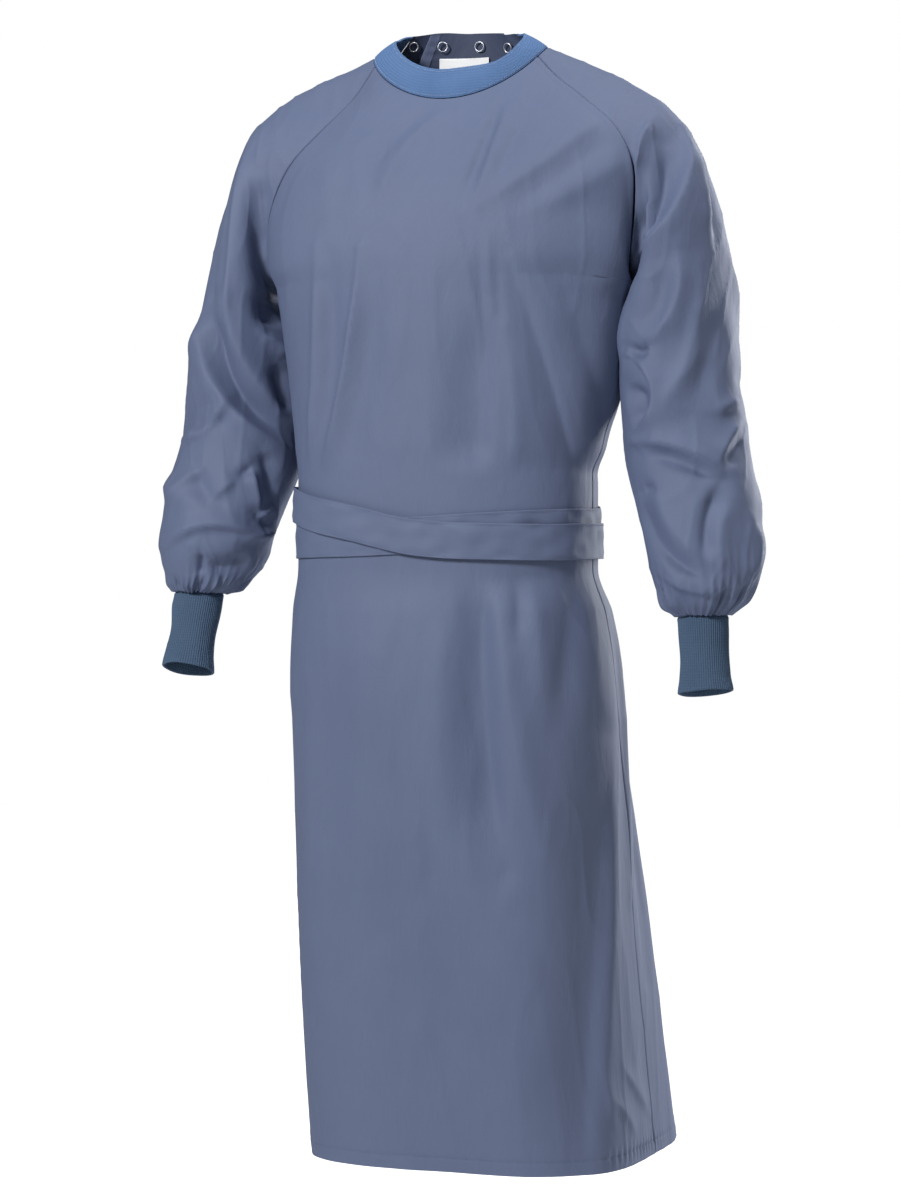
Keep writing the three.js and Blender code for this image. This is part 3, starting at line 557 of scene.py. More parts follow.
def woven_polyester(name, shade, light, roughness=0.7, crease=0.35):
    """Matt plain-weave cloth: faint threads, soft patches of tone, fine creases, and an inside darkened by
    painted shade.
    """
    material, tree = new_material(name)
    coordinates = add_node(tree, "ShaderNodeTexCoord").outputs
    place, solid = coordinates["UV"], coordinates["Object"]
    # tone patches about 140 mm wide, and uneven threads 1 mm wide and 36 mm long
    patches = add_node(tree, "ShaderNodeTexNoise", Vector=solid, Scale=7.0, Detail=3.0, Roughness=0.5)
    slubs = add_node(tree, "ShaderNodeMapping", Vector=place, Scale=(900, 28, 1))
    slub_noise = add_node(tree, "ShaderNodeTexNoise", Vector=slubs.outputs[0], Scale=1.0, Detail=2.0)
    tone = add_node(
        tree, "ShaderNodeMix", {"data_type": "RGBA"}, Factor=patches.outputs["Fac"],
        i6=linear(shade), i7=linear(light),
    )
    threads = add_node(tree, "ShaderNodeMapRange", Value=slub_noise.outputs["Fac"], To_Min=0.94, To_Max=1.06)
    base = add_node(
        tree, "ShaderNodeMix", {"data_type": "RGBA", "blend_type": "MULTIPLY"}, Factor=1.0,
        i6=tone.outputs[2], i7=threads.outputs[0],
    )
    # painted shade: faces seen from inside the gown, as at the open back neck, are darkened by a fixed tint
    inside = add_node(tree, "ShaderNodeNewGeometry").outputs["Backfacing"]
    painted_inside_shade = add_node(
        tree, "ShaderNodeMix", {"data_type": "RGBA", "blend_type": "MULTIPLY"}, Factor=inside,
        i6=base.outputs[2], i7=linear(INSIDE_PAINTED_SHADE),
    )
    threads_scale = 1000 / WEAVE_MM * WAVE_SCALE
    warp, weft = (
        add_node(tree, "ShaderNodeTexWave", {"bands_direction": way}, Vector=place, Scale=threads_scale)
        for way in "XY"
    )
    weave = add_node(
        tree, "ShaderNodeMath", {"operation": "MULTIPLY"}, i0=warp.outputs["Fac"], i1=weft.outputs["Fac"]
    )
    weave_bump = add_node(tree, "ShaderNodeBump", Height=weave.outputs[0], Strength=0.1, Distance=0.0003)
    # creases about 30 mm wide and 80 mm high
    stretched = add_node(tree, "ShaderNodeMapping", Vector=solid, Scale=(34, 34, 13))
    creases = add_node(
        tree, "ShaderNodeTexNoise", Vector=stretched.outputs[0], Scale=1.0, Detail=4.0, Roughness=0.55,
        Distortion=0.6,
    )
    crease_bump = add_node(
        tree, "ShaderNodeBump", Height=creases.outputs["Fac"], Strength=crease, Distance=0.004,
        Normal=weave_bump.outputs[0],
    )
    shader = add_node(
        tree, "ShaderNodeBsdfPrincipled", Base_Color=painted_inside_shade.outputs[2], Roughness=roughness,
        Sheen_Weight=0.22, Sheen_Roughness=0.45, Sheen_Tint=linear(light), IOR=1.5,
        Normal=crease_bump.outputs[0],
    )
    add_node(tree, "ShaderNodeOutputMaterial", Surface=shader.outputs[0])
    return material


gown_cloth = woven_polyester("woven_polyester", "#545f7c", "#5e6a87")
belt_cloth = woven_polyester("woven_polyester_belt", "#545f7c", "#5e6a87", crease=0.2)
print("cloth materials:", gown_cloth.name, belt_cloth.name)

# %% [markdown]
# ## Rib knit
# Cuffs and neck band are cotton rib: columns of knit loops that stand out as fine ribs and stretch
# round the wrist. The ribs are in the mesh. The material adds the loops along each rib, as bumps and
# as painted shade between them, and a dull, slightly fuzzy surface.


# %% Rib knit and the small materials
def rib_knit(name, shade, light, loop_mm=1.6):
    """Dull knitted cotton: loops along the ribs, with painted shade between them, and a soft fuzz."""
    material, tree = new_material(name)
    coordinates = add_node(tree, "ShaderNodeTexCoord").outputs
    place, solid = coordinates["UV"], coordinates["Object"]
    loops = add_node(
        tree, "ShaderNodeTexWave", {"bands_direction": "Y"}, Vector=place,
        Scale=1000 / loop_mm * WAVE_SCALE, Distortion=1.5, Detail=1.0,
    )
    patches = add_node(tree, "ShaderNodeTexNoise", Vector=solid, Scale=30.0, Detail=4.0)
    fuzz = add_node(tree, "ShaderNodeTexNoise", Vector=solid, Scale=1400.0, Detail=2.0)
    tone = add_node(
        tree, "ShaderNodeMix", {"data_type": "RGBA"}, Factor=patches.outputs["Fac"],
        i6=linear(shade), i7=linear(light),
    )
    # painted shade: each loop's colour is lighter on top and darker between loops, following its bump
    loop_painted_shade = add_node(tree, "ShaderNodeMapRange", Value=loops.outputs["Fac"], To_Min=0.93, To_Max=1.05)
    base = add_node(
        tree, "ShaderNodeMix", {"data_type": "RGBA", "blend_type": "MULTIPLY"}, Factor=1.0,
        i6=tone.outputs[2], i7=loop_painted_shade.outputs[0],
    )
    loop_bump = add_node(tree, "ShaderNodeBump", Height=loops.outputs["Fac"], Strength=0.3, Distance=0.0004)
    fuzz_bump = add_node(
        tree, "ShaderNodeBump", Height=fuzz.outputs["Fac"], Strength=0.25, Distance=0.0003,
        Normal=loop_bump.outputs[0],
    )
    shader = add_node(
        tree, "ShaderNodeBsdfPrincipled", Base_Color=base.outputs[2], Roughness=0.9, Sheen_Weight=0.35,
        Sheen_Roughness=0.5, Sheen_Tint=linear(light), IOR=1.5, Normal=fuzz_bump.outputs[0],
    )
    add_node(tree, "ShaderNodeOutputMaterial", Surface=shader.outputs[0])
    return material


def polyester_thread(name, colour):
    material, tree = new_material(name)
    solid = add_node(tree, "ShaderNodeTexCoord").outputs["Object"]
    twist = add_node(tree, "ShaderNodeTexNoise", Vector=solid, Scale=2500.0, Detail=1.0)
    tone = add_node(tree, "ShaderNodeMapRange", Value=twist.outputs["Fac"], To_Min=0.85, To_Max=1.1)
    base = add_node(
        tree, "ShaderNodeMix", {"data_type": "RGBA", "blend_type": "MULTIPLY"}, Factor=1.0,
        i6=linear(colour), i7=tone.outputs[0],
    )
    shader = add_node(tree, "ShaderNodeBsdfPrincipled", Base_Color=base.outputs[2], Roughness=0.6)
    add_node(tree, "ShaderNodeOutputMaterial", Surface=shader.outputs[0])
    return material


def nickel_plated_brass(name):
    """Pressed and plated snap metal: bright, with fine scuffs from wear."""
    material, tree = new_material(name)
    solid = add_node(tree, "ShaderNodeTexCoord").outputs["Object"]
    scuffs = add_node(tree, "ShaderNodeTexNoise", Vector=solid, Scale=900.0, Detail=4.0)
    rough = add_node(tree, "ShaderNodeMapRange", Value=scuffs.outputs["Fac"], To_Min=0.3, To_Max=0.5)
    shader = add_node(
        tree, "ShaderNodeBsdfPrincipled", Base_Color=linear("#e6e9f0"), Metallic=0.75,
        Roughness=rough.outputs[0],
    )
    add_node(tree, "ShaderNodeOutputMaterial", Surface=shader.outputs[0])
    return material


def label_tape(name):
    """Blank white woven tape, a satin face with cross threads 1.4 mm apart, coarse enough to show."""
    material, tree = new_material(name)
    place = add_node(tree, "ShaderNodeTexCoord").outputs["UV"]
    threads = add_node(tree, "ShaderNodeTexWave", {"bands_direction": "Y"}, Vector=place, Scale=220.0)
    bump = add_node(tree, "ShaderNodeBump", Height=threads.outputs["Fac"], Strength=0.3, Distance=0.0003)
    shader = add_node(
        tree, "ShaderNodeBsdfPrincipled", Base_Color=linear("#e9eaec"), Roughness=0.6, Sheen_Weight=0.1,
        Normal=bump.outputs[0],
    )
    add_node(tree, "ShaderNodeOutputMaterial", Surface=shader.outputs[0])
    return material


neck_rib = rib_knit("cotton_rib_light", "#4c6a96", "#5877a2")
cuff_rib = rib_knit("cotton_rib_dark", "#3c5169", "#475d77")
pale_thread = polyester_thread("polyester_thread_pale", "#8fa3c4")
gown_thread = polyester_thread("polyester_thread", "#5c6884")
snap_metal = nickel_plated_brass("nickel_plated_brass")
white_tape = label_tape("woven_label_tape")
print("materials:", len(bpy.data.materials))

# %% [markdown]
# ## Hems and seams
# A sewn edge has a shape of its own. A seam sinks in a fine groove, and on one side the layers
# under it make a flat ridge a few millimetres wide. A hem is the cloth turned up inside and stitched,
# which leaves a soft edge and small puckers where the stitches draw the cloth in.

# %% Seam and hem profiles
SEAM_DIP, SEAM_DIP_WIDTH = 1.7, 1.2
FELL_RISE, FELL_WIDTH = 0.55, 7.0
HEM_TURN, HEM_ROLL = 15.0, 0.9
STITCH_DIP, STITCH_DIP_WIDTH = 0.5, 1.6


def seam_profile(distance, ridge=True):
    dip = -SEAM_DIP * bell(distance, SEAM_DIP_WIDTH)
    fell = FELL_RISE * smooth(0.8, 2.0, distance) * smooth(FELL_WIDTH + 0.8, FELL_WIDTH, distance)
    return dip + (fell if ridge else 0)


def side_seam(distance, upper_rows):
    """A seam down the side of a panel: raglan with its ridge above the arm, plain below."""
    above = (np.arange(len(distance)) < upper_rows)[:, None]
    return np.where(above, seam_profile(distance), 0.6 * seam_profile(distance, False))


def pucker(run, distance, seed, pitch=11.0, reach=9.0, depth=0.7):
    """Small puckers across a stitched line, strongest at the line and fading beside it."""
    dice = np.random.default_rng(seed)
    phase = 2 * math.pi * run / pitch
    for k in range(3):
        phase = phase + dice.uniform(0.3, 0.9) * np.sin(run / (pitch * (2.1 + k)) + dice.uniform(0, 6))
    return depth * np.sin(phase) * bell(distance, reach)


def hem_marks(points, seed, depth):
    """Puckers along the stitched hem, and the groove that its stitches draw in."""
    down, across = run_along(points, 0), run_along(points, 1)
    to_hem = down[-1:] - down
    puckers = pucker(across, to_hem - HEM_TURN, seed, depth=depth) * smooth(60, 0, to_hem)
    return puckers - STITCH_DIP * bell(to_hem - HEM_TURN, STITCH_DIP_WIDTH)


def turned_hem(points, normals, width, roll=HEM_ROLL):
    """Carry a grid's last row round a soft edge and back up inside, as a stitched hem does."""
    edge, normal = points[-1], normals[-1]
    down = unit(points[-1] - points[-3])
    rows = [
        edge + roll * (down * math.sin(a) - normal * (1 - math.cos(a)))
        for a in np.linspace(0.35, math.pi, 5)
    ]
    rows += [edge - 2 * roll * normal - down * width * k / 3 for k in (1, 2, 3)]
    return np.concatenate([points, np.array(rows)], axis=0)


print(f"seam groove {SEAM_DIP} mm deep, hem turned up {HEM_TURN:.0f} mm")

# %% [markdown]
# ## Front panel
# One wide piece from side seam to side seam. Its mesh is about 3 mm fine, enough for soft folds and
# for the puckers at the hem. The belt presses it flat, so folds fade out under the belt and start
# again below it.

# %% How the body cloth hangs
HEM_ROWS = HEM_Z + np.array([1.0, 2.2, 6.0, 10.5, 13.0, 14.5, 16.5])
LOWER_ROWS = np.concatenate([np.linspace(UNDERARM_Z, HEM_Z, 300)[1:], HEM_ROWS])
LOWER_ROWS = np.unique(LOWER_ROWS)[::-1]
NEAR_SEAM = np.array([0.8, 1.6, 2.6, 6.6, 8.2])  # mm from a seam, for its groove and ridge


def belt_calm(z):
    """None under the belt, where it presses the cloth flat, and 1 away from it."""
    below = smooth(BELT_LOW_Z - 4, BELT_LOW_Z - 55, z)
    above = smooth(BELT_TOP_Z + 4, BELT_TOP_Z + 45, z)
    return np.maximum(below, above)


def below_arm(z):
    return smooth(UNDERARM_Z, UNDERARM_Z - 120, z)


def hang(points, normals):
    """How far folds move the body's cloth, with slow sags and thin creases that no table holds."""
    slow = soft_noise(points, (120, 120, 240), 21) * 1.6
    thin = 1 - np.abs(soft_noise(points, (34, 34, 150), 22))
    small = soft_noise(points, (22, 22, 60), 23)
    drape = slow + 0.9 * np.clip(thin, 0, 1) ** 3 + 0.25 * small
    return fold_height(points, normals, BODY_FOLDS) + drape


print("rows of cloth below the underarm:", len(LOWER_ROWS))

# %% Front panel
RIDGE_SHARES = (0.80, 0.97)  # how far across the bright ridge is, where columns are closer


def make_front():
    columns = graded(150, NEAR_SEAM / 470, NEAR_SEAM / 470, np.linspace(*RIDGE_SHARES, 42))
    up = graded(96, (), NEAR_SEAM / 330)[::-1]
    upper = patch_point("front", columns[None, :], up[:, None])
    lower = body_point(mix(-180, 0, columns)[None, :], LOWER_ROWS[:, None])
    points = np.concatenate([upper, lower])
    down, across = run_along(points, 0), run_along(points, 1)
    to_last = across[:, -1:] - across
    z = points[..., 2]
    edge = smooth(0, 26, np.minimum(across, to_last)) * smooth(0, 24, down)
    calm = np.maximum(edge, below_arm(z)) * belt_calm(z)
    normals = grid_normals(points, False, 1)
    rise = calm * hang(points, normals) + hem_marks(points, seed=18, depth=0.9)
    rise = rise + side_seam(across, len(up)) + side_seam(to_last, len(up))
    points = points + normals * rise[..., None]
    neck_dip = seam_profile(run_along(points, 0), False)
    points = points + grid_normals(points, False, 1) * neck_dip[..., None]
    normals = grid_normals(points, False, 1)
    whole = turned_hem(points, normals, HEM_TURN)
    obj = cloth_object("front_panel_cloth", whole, False, 1, gown_cloth)
    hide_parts("front_panel")
    return obj, points, normals


front, front_grid, front_out = make_front()

# %% [markdown]
# ## Back panels
# The gown opens behind: one back panel laps over the other from neck to hem, and the under panel
# sinks a few millimetres inside the other. At the neck both stand up inside the band and carry the
# snaps. Their free edges are hems as well, turned in and stitched.

# %% Back panels
# how far across the back each free edge is, from the wearer's right: at the underarm, at the neck
FREE_EDGE = {"over": (10 / 16, 0.76), "under": (6 / 16, 0.17)}
OVERLAP_SINK = 4.4
STAND_ROWS = 18
FACING_TURN, FACING_ROLL = 12.0, 0.7
NEAR_EDGE = np.array([0.8, 1.6, 10.0, 12.0, 14.0])  # mm from the free edge, for its turned strip


def back_points(layer):
    """The panel's grid, how many of its rows are above the arm, and how far the under one sinks."""
    first = 0.0 if layer == "over" else 1.0
    low_edge, neck_edge = FREE_EDGE[layer]
    columns = graded(96, NEAR_SEAM / 300, NEAR_EDGE / 300)
    up = np.linspace(1, 0, 90)
    shares = np.stack([mix(first, mix(low_edge, neck_edge, t), columns) for t in up])
    stand_angles = mix(180 - NECK_BACK_CORNER, NECK_BACK_CORNER, shares[:1])
    stand = neck_point(stand_angles, np.linspace(1, 0, STAND_ROWS + 1)[:-1, None])
    upper = patch_point("back", shares, np.broadcast_to(up[:, None], shares.shape))
    lower = body_point(mix(180, 0, shares[-1:]), LOWER_ROWS[:, None])
    here = np.concatenate([shares[:1].repeat(STAND_ROWS, 0), shares, shares[-1:].repeat(len(lower), 0)])
    height = np.concatenate([np.ones(STAND_ROWS), up, np.zeros(len(lower))])
    over_edge = mix(*FREE_EDGE["over"], height)[:, None]
    sink = OVERLAP_SINK * smooth(over_edge + 0.14, over_edge + 0.02, here)
    return np.concatenate([stand, upper, lower]), STAND_ROWS + len(up), sink


def make_back(layer):
    turn = 1 if layer == "under" else -1
    points, upper_rows, sink = back_points(layer)
    normals = grid_normals(points, False, turn)
    down, across = run_along(points, 0), run_along(points, 1)
    share = across / across[:, -1:]
    z = points[..., 2]
    calm = np.maximum(smooth(0, 0.2, share) * smooth(60, -40, z), below_arm(z)) * belt_calm(z)
    from_stitches = across[:, -1:] - across - FACING_TURN
    rise = calm * hang(points, normals) + hem_marks(points, seed=30, depth=0.8)
    rise = rise + side_seam(across, upper_rows) + pucker(down, from_stitches, 26, depth=0.35)
    rise = rise - 0.4 * bell(from_stitches, 1.4)
    if layer == "under":
        rise = rise - sink
    points = points + normals * rise[..., None]
    normals = grid_normals(points, False, turn)
    hemmed = turned_hem(points, normals, HEM_TURN)
    sideways = np.swapaxes(hemmed, 0, 1)
    sideways_out = np.swapaxes(grid_normals(hemmed, False, turn), 0, 1)
    whole = np.swapaxes(turned_hem(sideways, sideways_out, FACING_TURN, FACING_ROLL), 0, 1)
    obj = cloth_object(f"back_panel_{layer}_cloth", whole, False, turn, gown_cloth)
    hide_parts(f"back_panel_{layer}")
    return obj, points, normals


backs = {layer: make_back(layer) for layer in ("over", "under")}

# %% [markdown]
# ## Sleeves
# A sleeve starts on its loop of seams, runs through the shoulder and hangs down the arm. Below the
# elbow it is full and blouses over the cuff, because the cloth is wider than the knit it is sewn
# to. The extra width is drawn up in gathers: many small pleats at the seam that merge upwards into
# fewer, wider ones.

# %% Sleeve sizes and folds
SLEEVE_RINGS = {
    # along, x, y, z, lean, half width, half depth, crowd
    "left": np.array([
        [140, 236, -4, -119, 89, 99, 70, 30],
        [235, 251, -12, -194, 58, 85, 75, 20],
        [335, 259, -15, -290, 15, 64, 74, 10],
        [455, 270, -25, -410, 8, 69, 70, 3],
        [530, 289, -40, -485, 8, 66, 66, 0],
        [584, 299, -50, -538, 6, 60, 58, 0],
        [616, 300, -55, -570, 4, 48, 44, 0],
        [640, 296, -58, -588, 2, 30, 25, 0],
    ], float),
    "right": np.array([
        [140, -236, -6, -117, 86, 102, 71, 30],
        [235, -249, -12, -198, 60, 77, 75, 20],
        [335, -260, -15, -297, 15, 65, 74, 10],
        [445, -267, -25, -404, 8, 71, 70, 3],
        [525, -287, -43, -482, 8, 65, 65, 0],
        [560, -290, -50, -514, 6, 64, 60, 0],
        [600, -296, -54, -544, 4, 50, 46, 0],
        [640, -306, -57, -562, 2, 31, 26, 0],
    ], float),
}
SLEEVE_END = 640
SEAM_CELLS, NECK_CELLS = 11, 4  # steps along each raglan seam and across the neck
SLEEVE_FOLDS = {
    # x0, z0, x1, z1, bow, half width, height, sharp, lean
    "left": {
        FRONT_VIEW: [
            [206, -41, 186, -102, 6, 9, 6.8, 0.6, -0.4],  # head front fold
            [239, -48, 181, -195, -23, 11, 12, 1, -0.7],  # overlap lip
            [220, -72, 183, -176, -14, 12, -13, 0.2, 0],  # pocket under the lip
            [244, -72, 268, -175, -4, 8, 6.8, 0.7, 0.5],  # back crease a
            [255, -83, 272, -180, -4, 6, -5.4, 0.4, 0],  # back crease b
            [229, -186, 198, -294, -15, 12, 8.1, 0.5, -0.3],  # forward swell
            [206, -204, 185, -278, -12, 14, -5.4, 0.1, 0],  # hollow left of it
            [180, -293, 201, -294, 6, 7, -10.8, 0.4, 0],  # pocket a
            [181, -301, 179, -395, -26, 8, 12.2, 0.9, -0.8],  # lip of the pocket
            [177, -332, 182, -380, -10, 9, -12.2, 0.3, 0],  # pocket b
            [255, -204, 211, -375, -13, 14, 6.1, 0.4, -0.3],  # long run down
            [271, -245, 244, -364, -5, 14, -4.7, 0.1, 0],  # long run down b
            [180, -397, 275, -431, -8, 9, 8.1, 0.8, -0.6],  # elbow ridge
            [190, -410, 272, -440, -5, 9, -8.1, 0.4, 0],  # elbow trough
            [302, -373, 272, -421, 3, 7, 6.8, 0.8, 0.4],  # right crease a
            [305, -392, 280, -425, -1, 6, -6.1, 0.5, 0],  # right crease b
            [300, -353, 268, -366, 0, 8, 4.7, 0.6, 0.3],  # right crease c
            [275, -442, 257, -533, 8, 10, -8.1, 0.3, -0.4],  # trough from the elbow
            [285, -462, 278, -543, 10, 10, 5.4, 0.4, 0],  # ridge right of it
            [190, -453, 207, -451, -3, 5, -5.4, 0.6, 0],  # small crease
            [191, -453, 263, -548, 20, 11, -8.8, 0.4, -0.5],  # long left curve
            [203, -440, 272, -538, 16, 13, 6.1, 0.3, 0.2],  # its ridge
            [213, -540, 287, -553, 12, 10, 6.8, 0.5, -0.4],  # blouse ridge
            [311, -483, 300, -551, -10, 10, 6.1, 0.4, 0],  # blouse right
        ],
        RIGHT_VIEW: [
            [80, -195, 70, -310, 0, 40, 11, 0, 0],  # cloth that rests against the body
        ],
    },
    "right": {
        FRONT_VIEW: [
            [-249, -45, -266, -278, 8, 9, 6.8, 0.8, -0.5],  # fold edge down the arm
            [-235, -83, -233, -183, -1, 14, -8.1, 0.1, 0],  # hollow at its right
            [-221, -209, -217, -261, 7, 13, -10.8, 0.2, 0],  # blotch a
            [-215, -297, -199, -355, 3, 9, -12.2, 0.4, 0],  # blotch b
            [-233, -266, -205, -295, -4, 8, 6.8, 0.5, -0.3],  # ridge between
            [-288, -152, -296, -247, 2, 9, -5.4, 0.3, 0],  # outer line
            [-291, -222, -193, -382, 30, 12, -16.2, 0.4, 0],  # big curved trough
            [-304, -226, -201, -395, 35, 12, 10.1, 0.6, 0.6],  # its lower lip
            [-276, -226, -201, -358, 15, 12, 6.1, 0.4, -0.3],  # its upper lip
            [-320, -364, -262, -352, 11, 10, -5.4, 0.3, 0],  # forearm patch a
            [-327, -387, -272, -341, 10, 10, 6.8, 0.6, -0.4],  # forearm ridge a
            [-243, -421, -237, -469, -2, 6, 8.1, 0.9, 0.6],  # crisp crease
            [-262, -430, -240, -416, 1, 6, -6.8, 0.5, 0],  # crisp crease foot
            [-233, -398, -219, -455, -4, 10, -9.5, 0.3, 0],  # dark by it
            [-240, -478, -218, -460, -1, 5, 6.8, 0.8, 0.5],  # point crease a
            [-242, -469, -223, -491, 2, 5, -6.8, 0.6, 0],  # point crease b
            [-340, -465, -298, -419, -4, 10, 6.8, 0.6, -0.5],  # light ridge low left
            [-308, -421, -278, -461, 6, 10, -6.8, 0.4, 0],  # diamond a
            [-298, -461, -258, -428, 1, 9, 6.1, 0.6, -0.4],  # diamond b
            [-343, -510, -233, -498, -19, 11, 10.8, 0.7, -0.6],  # blouse curve
            [-258, -502, -215, -481, 5, 9, 8.1, 0.6, -0.4],  # blouse curve end
            [-299, -531, -242, -520, 8, 14, -12.2, 0.2, 0],  # under the curve
            [-301, -515, -303, -545, 0, 5, -6.8, 0.5, 0],  # upright by the hollow
        ],
        LEFT_VIEW: [
            [20, -222, 20, -300, 0, 34, 6, 0, 0],  # cloth that rests against the body
        ],
    },
}
# the hidden sides of the left sleeve, mirrored for the right one
HIDDEN_FOLDS = {
    BACK_VIEW: [
        [-250, -200, -200, -290, -10, 14, 6, 0.4, 0.2],
        [-290, -300, -215, -250, 6, 16, -6, 0.1, 0],
        [-296, -380, -215, -430, -8, 12, 6, 0.5, 0.2],
        [-300, -410, -230, -456, -6, 13, -7, 0.2, 0],
        [-310, -480, -240, -530, -8, 12, 5, 0.4, 0],
    ],
    LEFT_VIEW: [
        [-60, -190, 10, -300, 8, 14, 6, 0.4, 0.2],
        [-80, -330, 20, -390, -8, 14, -6, 0.2, 0],
        [-90, -470, 0, -420, 8, 13, 6, 0.4, 0],
    ],
}
SLEEVE_FOLDS["left"].update(HIDDEN_FOLDS)
for view, mirror_view in ((BACK_VIEW, BACK_VIEW), (LEFT_VIEW, RIGHT_VIEW)):
    SLEEVE_FOLDS["right"][mirror_view] = [
        [-x0, z0, -x1, z1, -bow, *shape] for x0, z0, x1, z1, bow, *shape in HIDDEN_FOLDS[view]
    ]
for side, table in SLEEVE_FOLDS.items():
    print(f"folds placed on the {side} sleeve:", sum(len(rows) for rows in table.values()))

# %% Sleeve shape
def ring_point(side, row, round_share):
    """On a sleeve ring, at a share of the way round it from the underarm by the front."""
    _, x, y, z, lean, half_width, half_depth, crowd = row
    angle = np.radians(360 * round_share - 180)
    turn = angle - math.radians(crowd) * np.sin(angle)
    reach, forward = half_width * np.cos(turn), half_depth * np.sin(turn)
    lean = math.radians(lean)
    return np.stack(
        [x + SIDE[side] * math.cos(lean) * reach, y + forward, z + math.sin(lean) * reach], axis=-1
    )


def sleeve_loop(side, round_share):
    """The seam loop at the top: front raglan seam, then the neck, then the back raglan seam."""
    cell = round_share * (2 * SEAM_CELLS + NECK_CELLS)
    front = raglan_seam(side, "front", np.clip(cell / SEAM_CELLS, 0, 1))
    corner = np.clip((cell - SEAM_CELLS) / NECK_CELLS, 0, 1)
    neck = neck_point(side_angle(side, mix(NECK_FRONT_CORNER, NECK_BACK_CORNER, corner)), 0)
    back = raglan_seam(side, "back", np.clip(1 - (cell - SEAM_CELLS - NECK_CELLS) / SEAM_CELLS, 0, 1))
    loop = np.where((cell < SEAM_CELLS)[:, None], front, neck)
    return np.where((cell > SEAM_CELLS + NECK_CELLS)[:, None], back, loop)


for side in SIDE:
    loop = sleeve_loop(side, np.linspace(0, 1, 200))
    print(f"{side} sleeve head: {run_along(loop, 0)[-1]:.0f} mm round its seams")

# %% Gathers and finished sleeves
SMALL_PLEATS, WIDE_PLEATS, PUFFS = 38, 17, 13
PUFF_RISE = 6.5
SLEEVE_COLUMNS = 240
SLEEVE_ROWS = [np.linspace(0, 560, 150), np.linspace(560, SLEEVE_END, 44), [0.8, 1.6, 2.6, 638.8]]
SLEEVE_ROWS = np.unique(np.concatenate(SLEEVE_ROWS))
SLEEVE_SEEDS = {"left": 41, "right": 57}
TUCK = 5.0  # mm of cloth inside the cuff seam


def gathers(along, round_share, seed):
    """Pleats drawn into the cuff seam, uneven in width and depth."""
    dice = np.random.default_rng(seed)
    turn = 2 * math.pi * round_share
    drift = round_share
    for k in (2, 3, 5, 7):
        drift = drift + 0.010 / k * np.sin(k * turn + dice.uniform(0, 6))
    depth = 1 + 0.45 * np.sin(4 * turn + dice.uniform(0, 6))
    depth = depth * (1 + 0.3 * np.sin(9 * turn + dice.uniform(0, 6)))
    small = np.sin(2 * math.pi * SMALL_PLEATS * drift)
    wide = 1 - 2 * np.abs(np.sin(2 * math.pi * WIDE_PLEATS * drift + 1.2 * np.sin(3 * turn))) ** 0.7
    puffs = np.abs(np.sin(math.pi * PUFFS * drift + 1.5 * np.sin(2 * turn)))
    near = smooth(618, 636, along)
    far = smooth(592, 622, along) * (1 - 0.7 * near)
    faint = smooth(540, 610, along) * smooth(630, 606, along)
    return depth * (0.8 * near * small + (1.8 * far + 0.5 * faint) * wide + PUFF_RISE * far * (puffs - 0.5))


def make_sleeve(side):
    turn, seed = SIDE[side], SLEEVE_SEEDS[side]
    round_share = np.arange(SLEEVE_COLUMNS) / SLEEVE_COLUMNS
    rings = SLEEVE_RINGS[side]
    path = [sleeve_loop(side, round_share), *[ring_point(side, row, round_share) for row in rings]]
    points = smooth_path([0, *rings[:, 0]], np.array(path), SLEEVE_ROWS)
    normals = grid_normals(points, True, turn)
    calm = (smooth(0, 26, SLEEVE_ROWS) * smooth(SLEEVE_END, 600, SLEEVE_ROWS))[:, None]
    uneven = soft_noise(points, (70, 70, 120), seed)
    thin = 1 - np.abs(soft_noise(points, (26, 26, 70), seed + 1))
    uneven = uneven + 1.1 * np.clip(thin, 0, 1) ** 4 + 0.2 * soft_noise(points, (14, 14, 22), seed + 2)
    rise = calm * (fold_height(points, normals, SLEEVE_FOLDS[side]) + uneven)
    rise = rise + gathers(SLEEVE_ROWS[:, None], round_share[None, :], seed)
    down = run_along(points, 0)
    rise = rise + seam_profile(down, False) + 1.4 * seam_profile(down[-1:] - down, False)
    points = points + normals * rise[..., None]
    tuck = points[-1:] + unit(rings[-1, 1:4] - points[-1:]) * TUCK
    obj = cloth_object(f"sleeve_{side}_cloth", np.concatenate([points, tuck]), True, turn, gown_cloth)
    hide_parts(f"sleeve_{side}")
    return obj


sleeves = {side: make_sleeve(side) for side in SIDE}

# %% [markdown]
# ## Cuffs
# A cuff is a doubled tube of rib knit that grips the wrist. It is drawn with real ribs, because they
# catch the light and make its wavy, slightly flared end. The open end turns inside, so that looking
# in shows knit and not a paper-thin edge.

# %% Cuffs
CUFF_ENDS = {"left": np.array([303.0, -72, -674]), "right": np.array([-307.0, -88, -653])}
CUFF_SEEDS = {"left": 5, "right": 8}
CUFF_RIBS, RIB_STEPS, RIB_RISE = 66, 6, 0.42
CUFF_GRIP, CUFF_SHARE = 0.94, 0.95  # its width beside the sleeve's end, and how far down it goes
CUFF_ROWS, CUFF_TURN, CUFF_ROLL = 46, 26.0, 1.1
CUFF_ALLOWANCE = ((2.5, 6), (1.0, 2))  # mm inwards and up, inside the sleeve's end


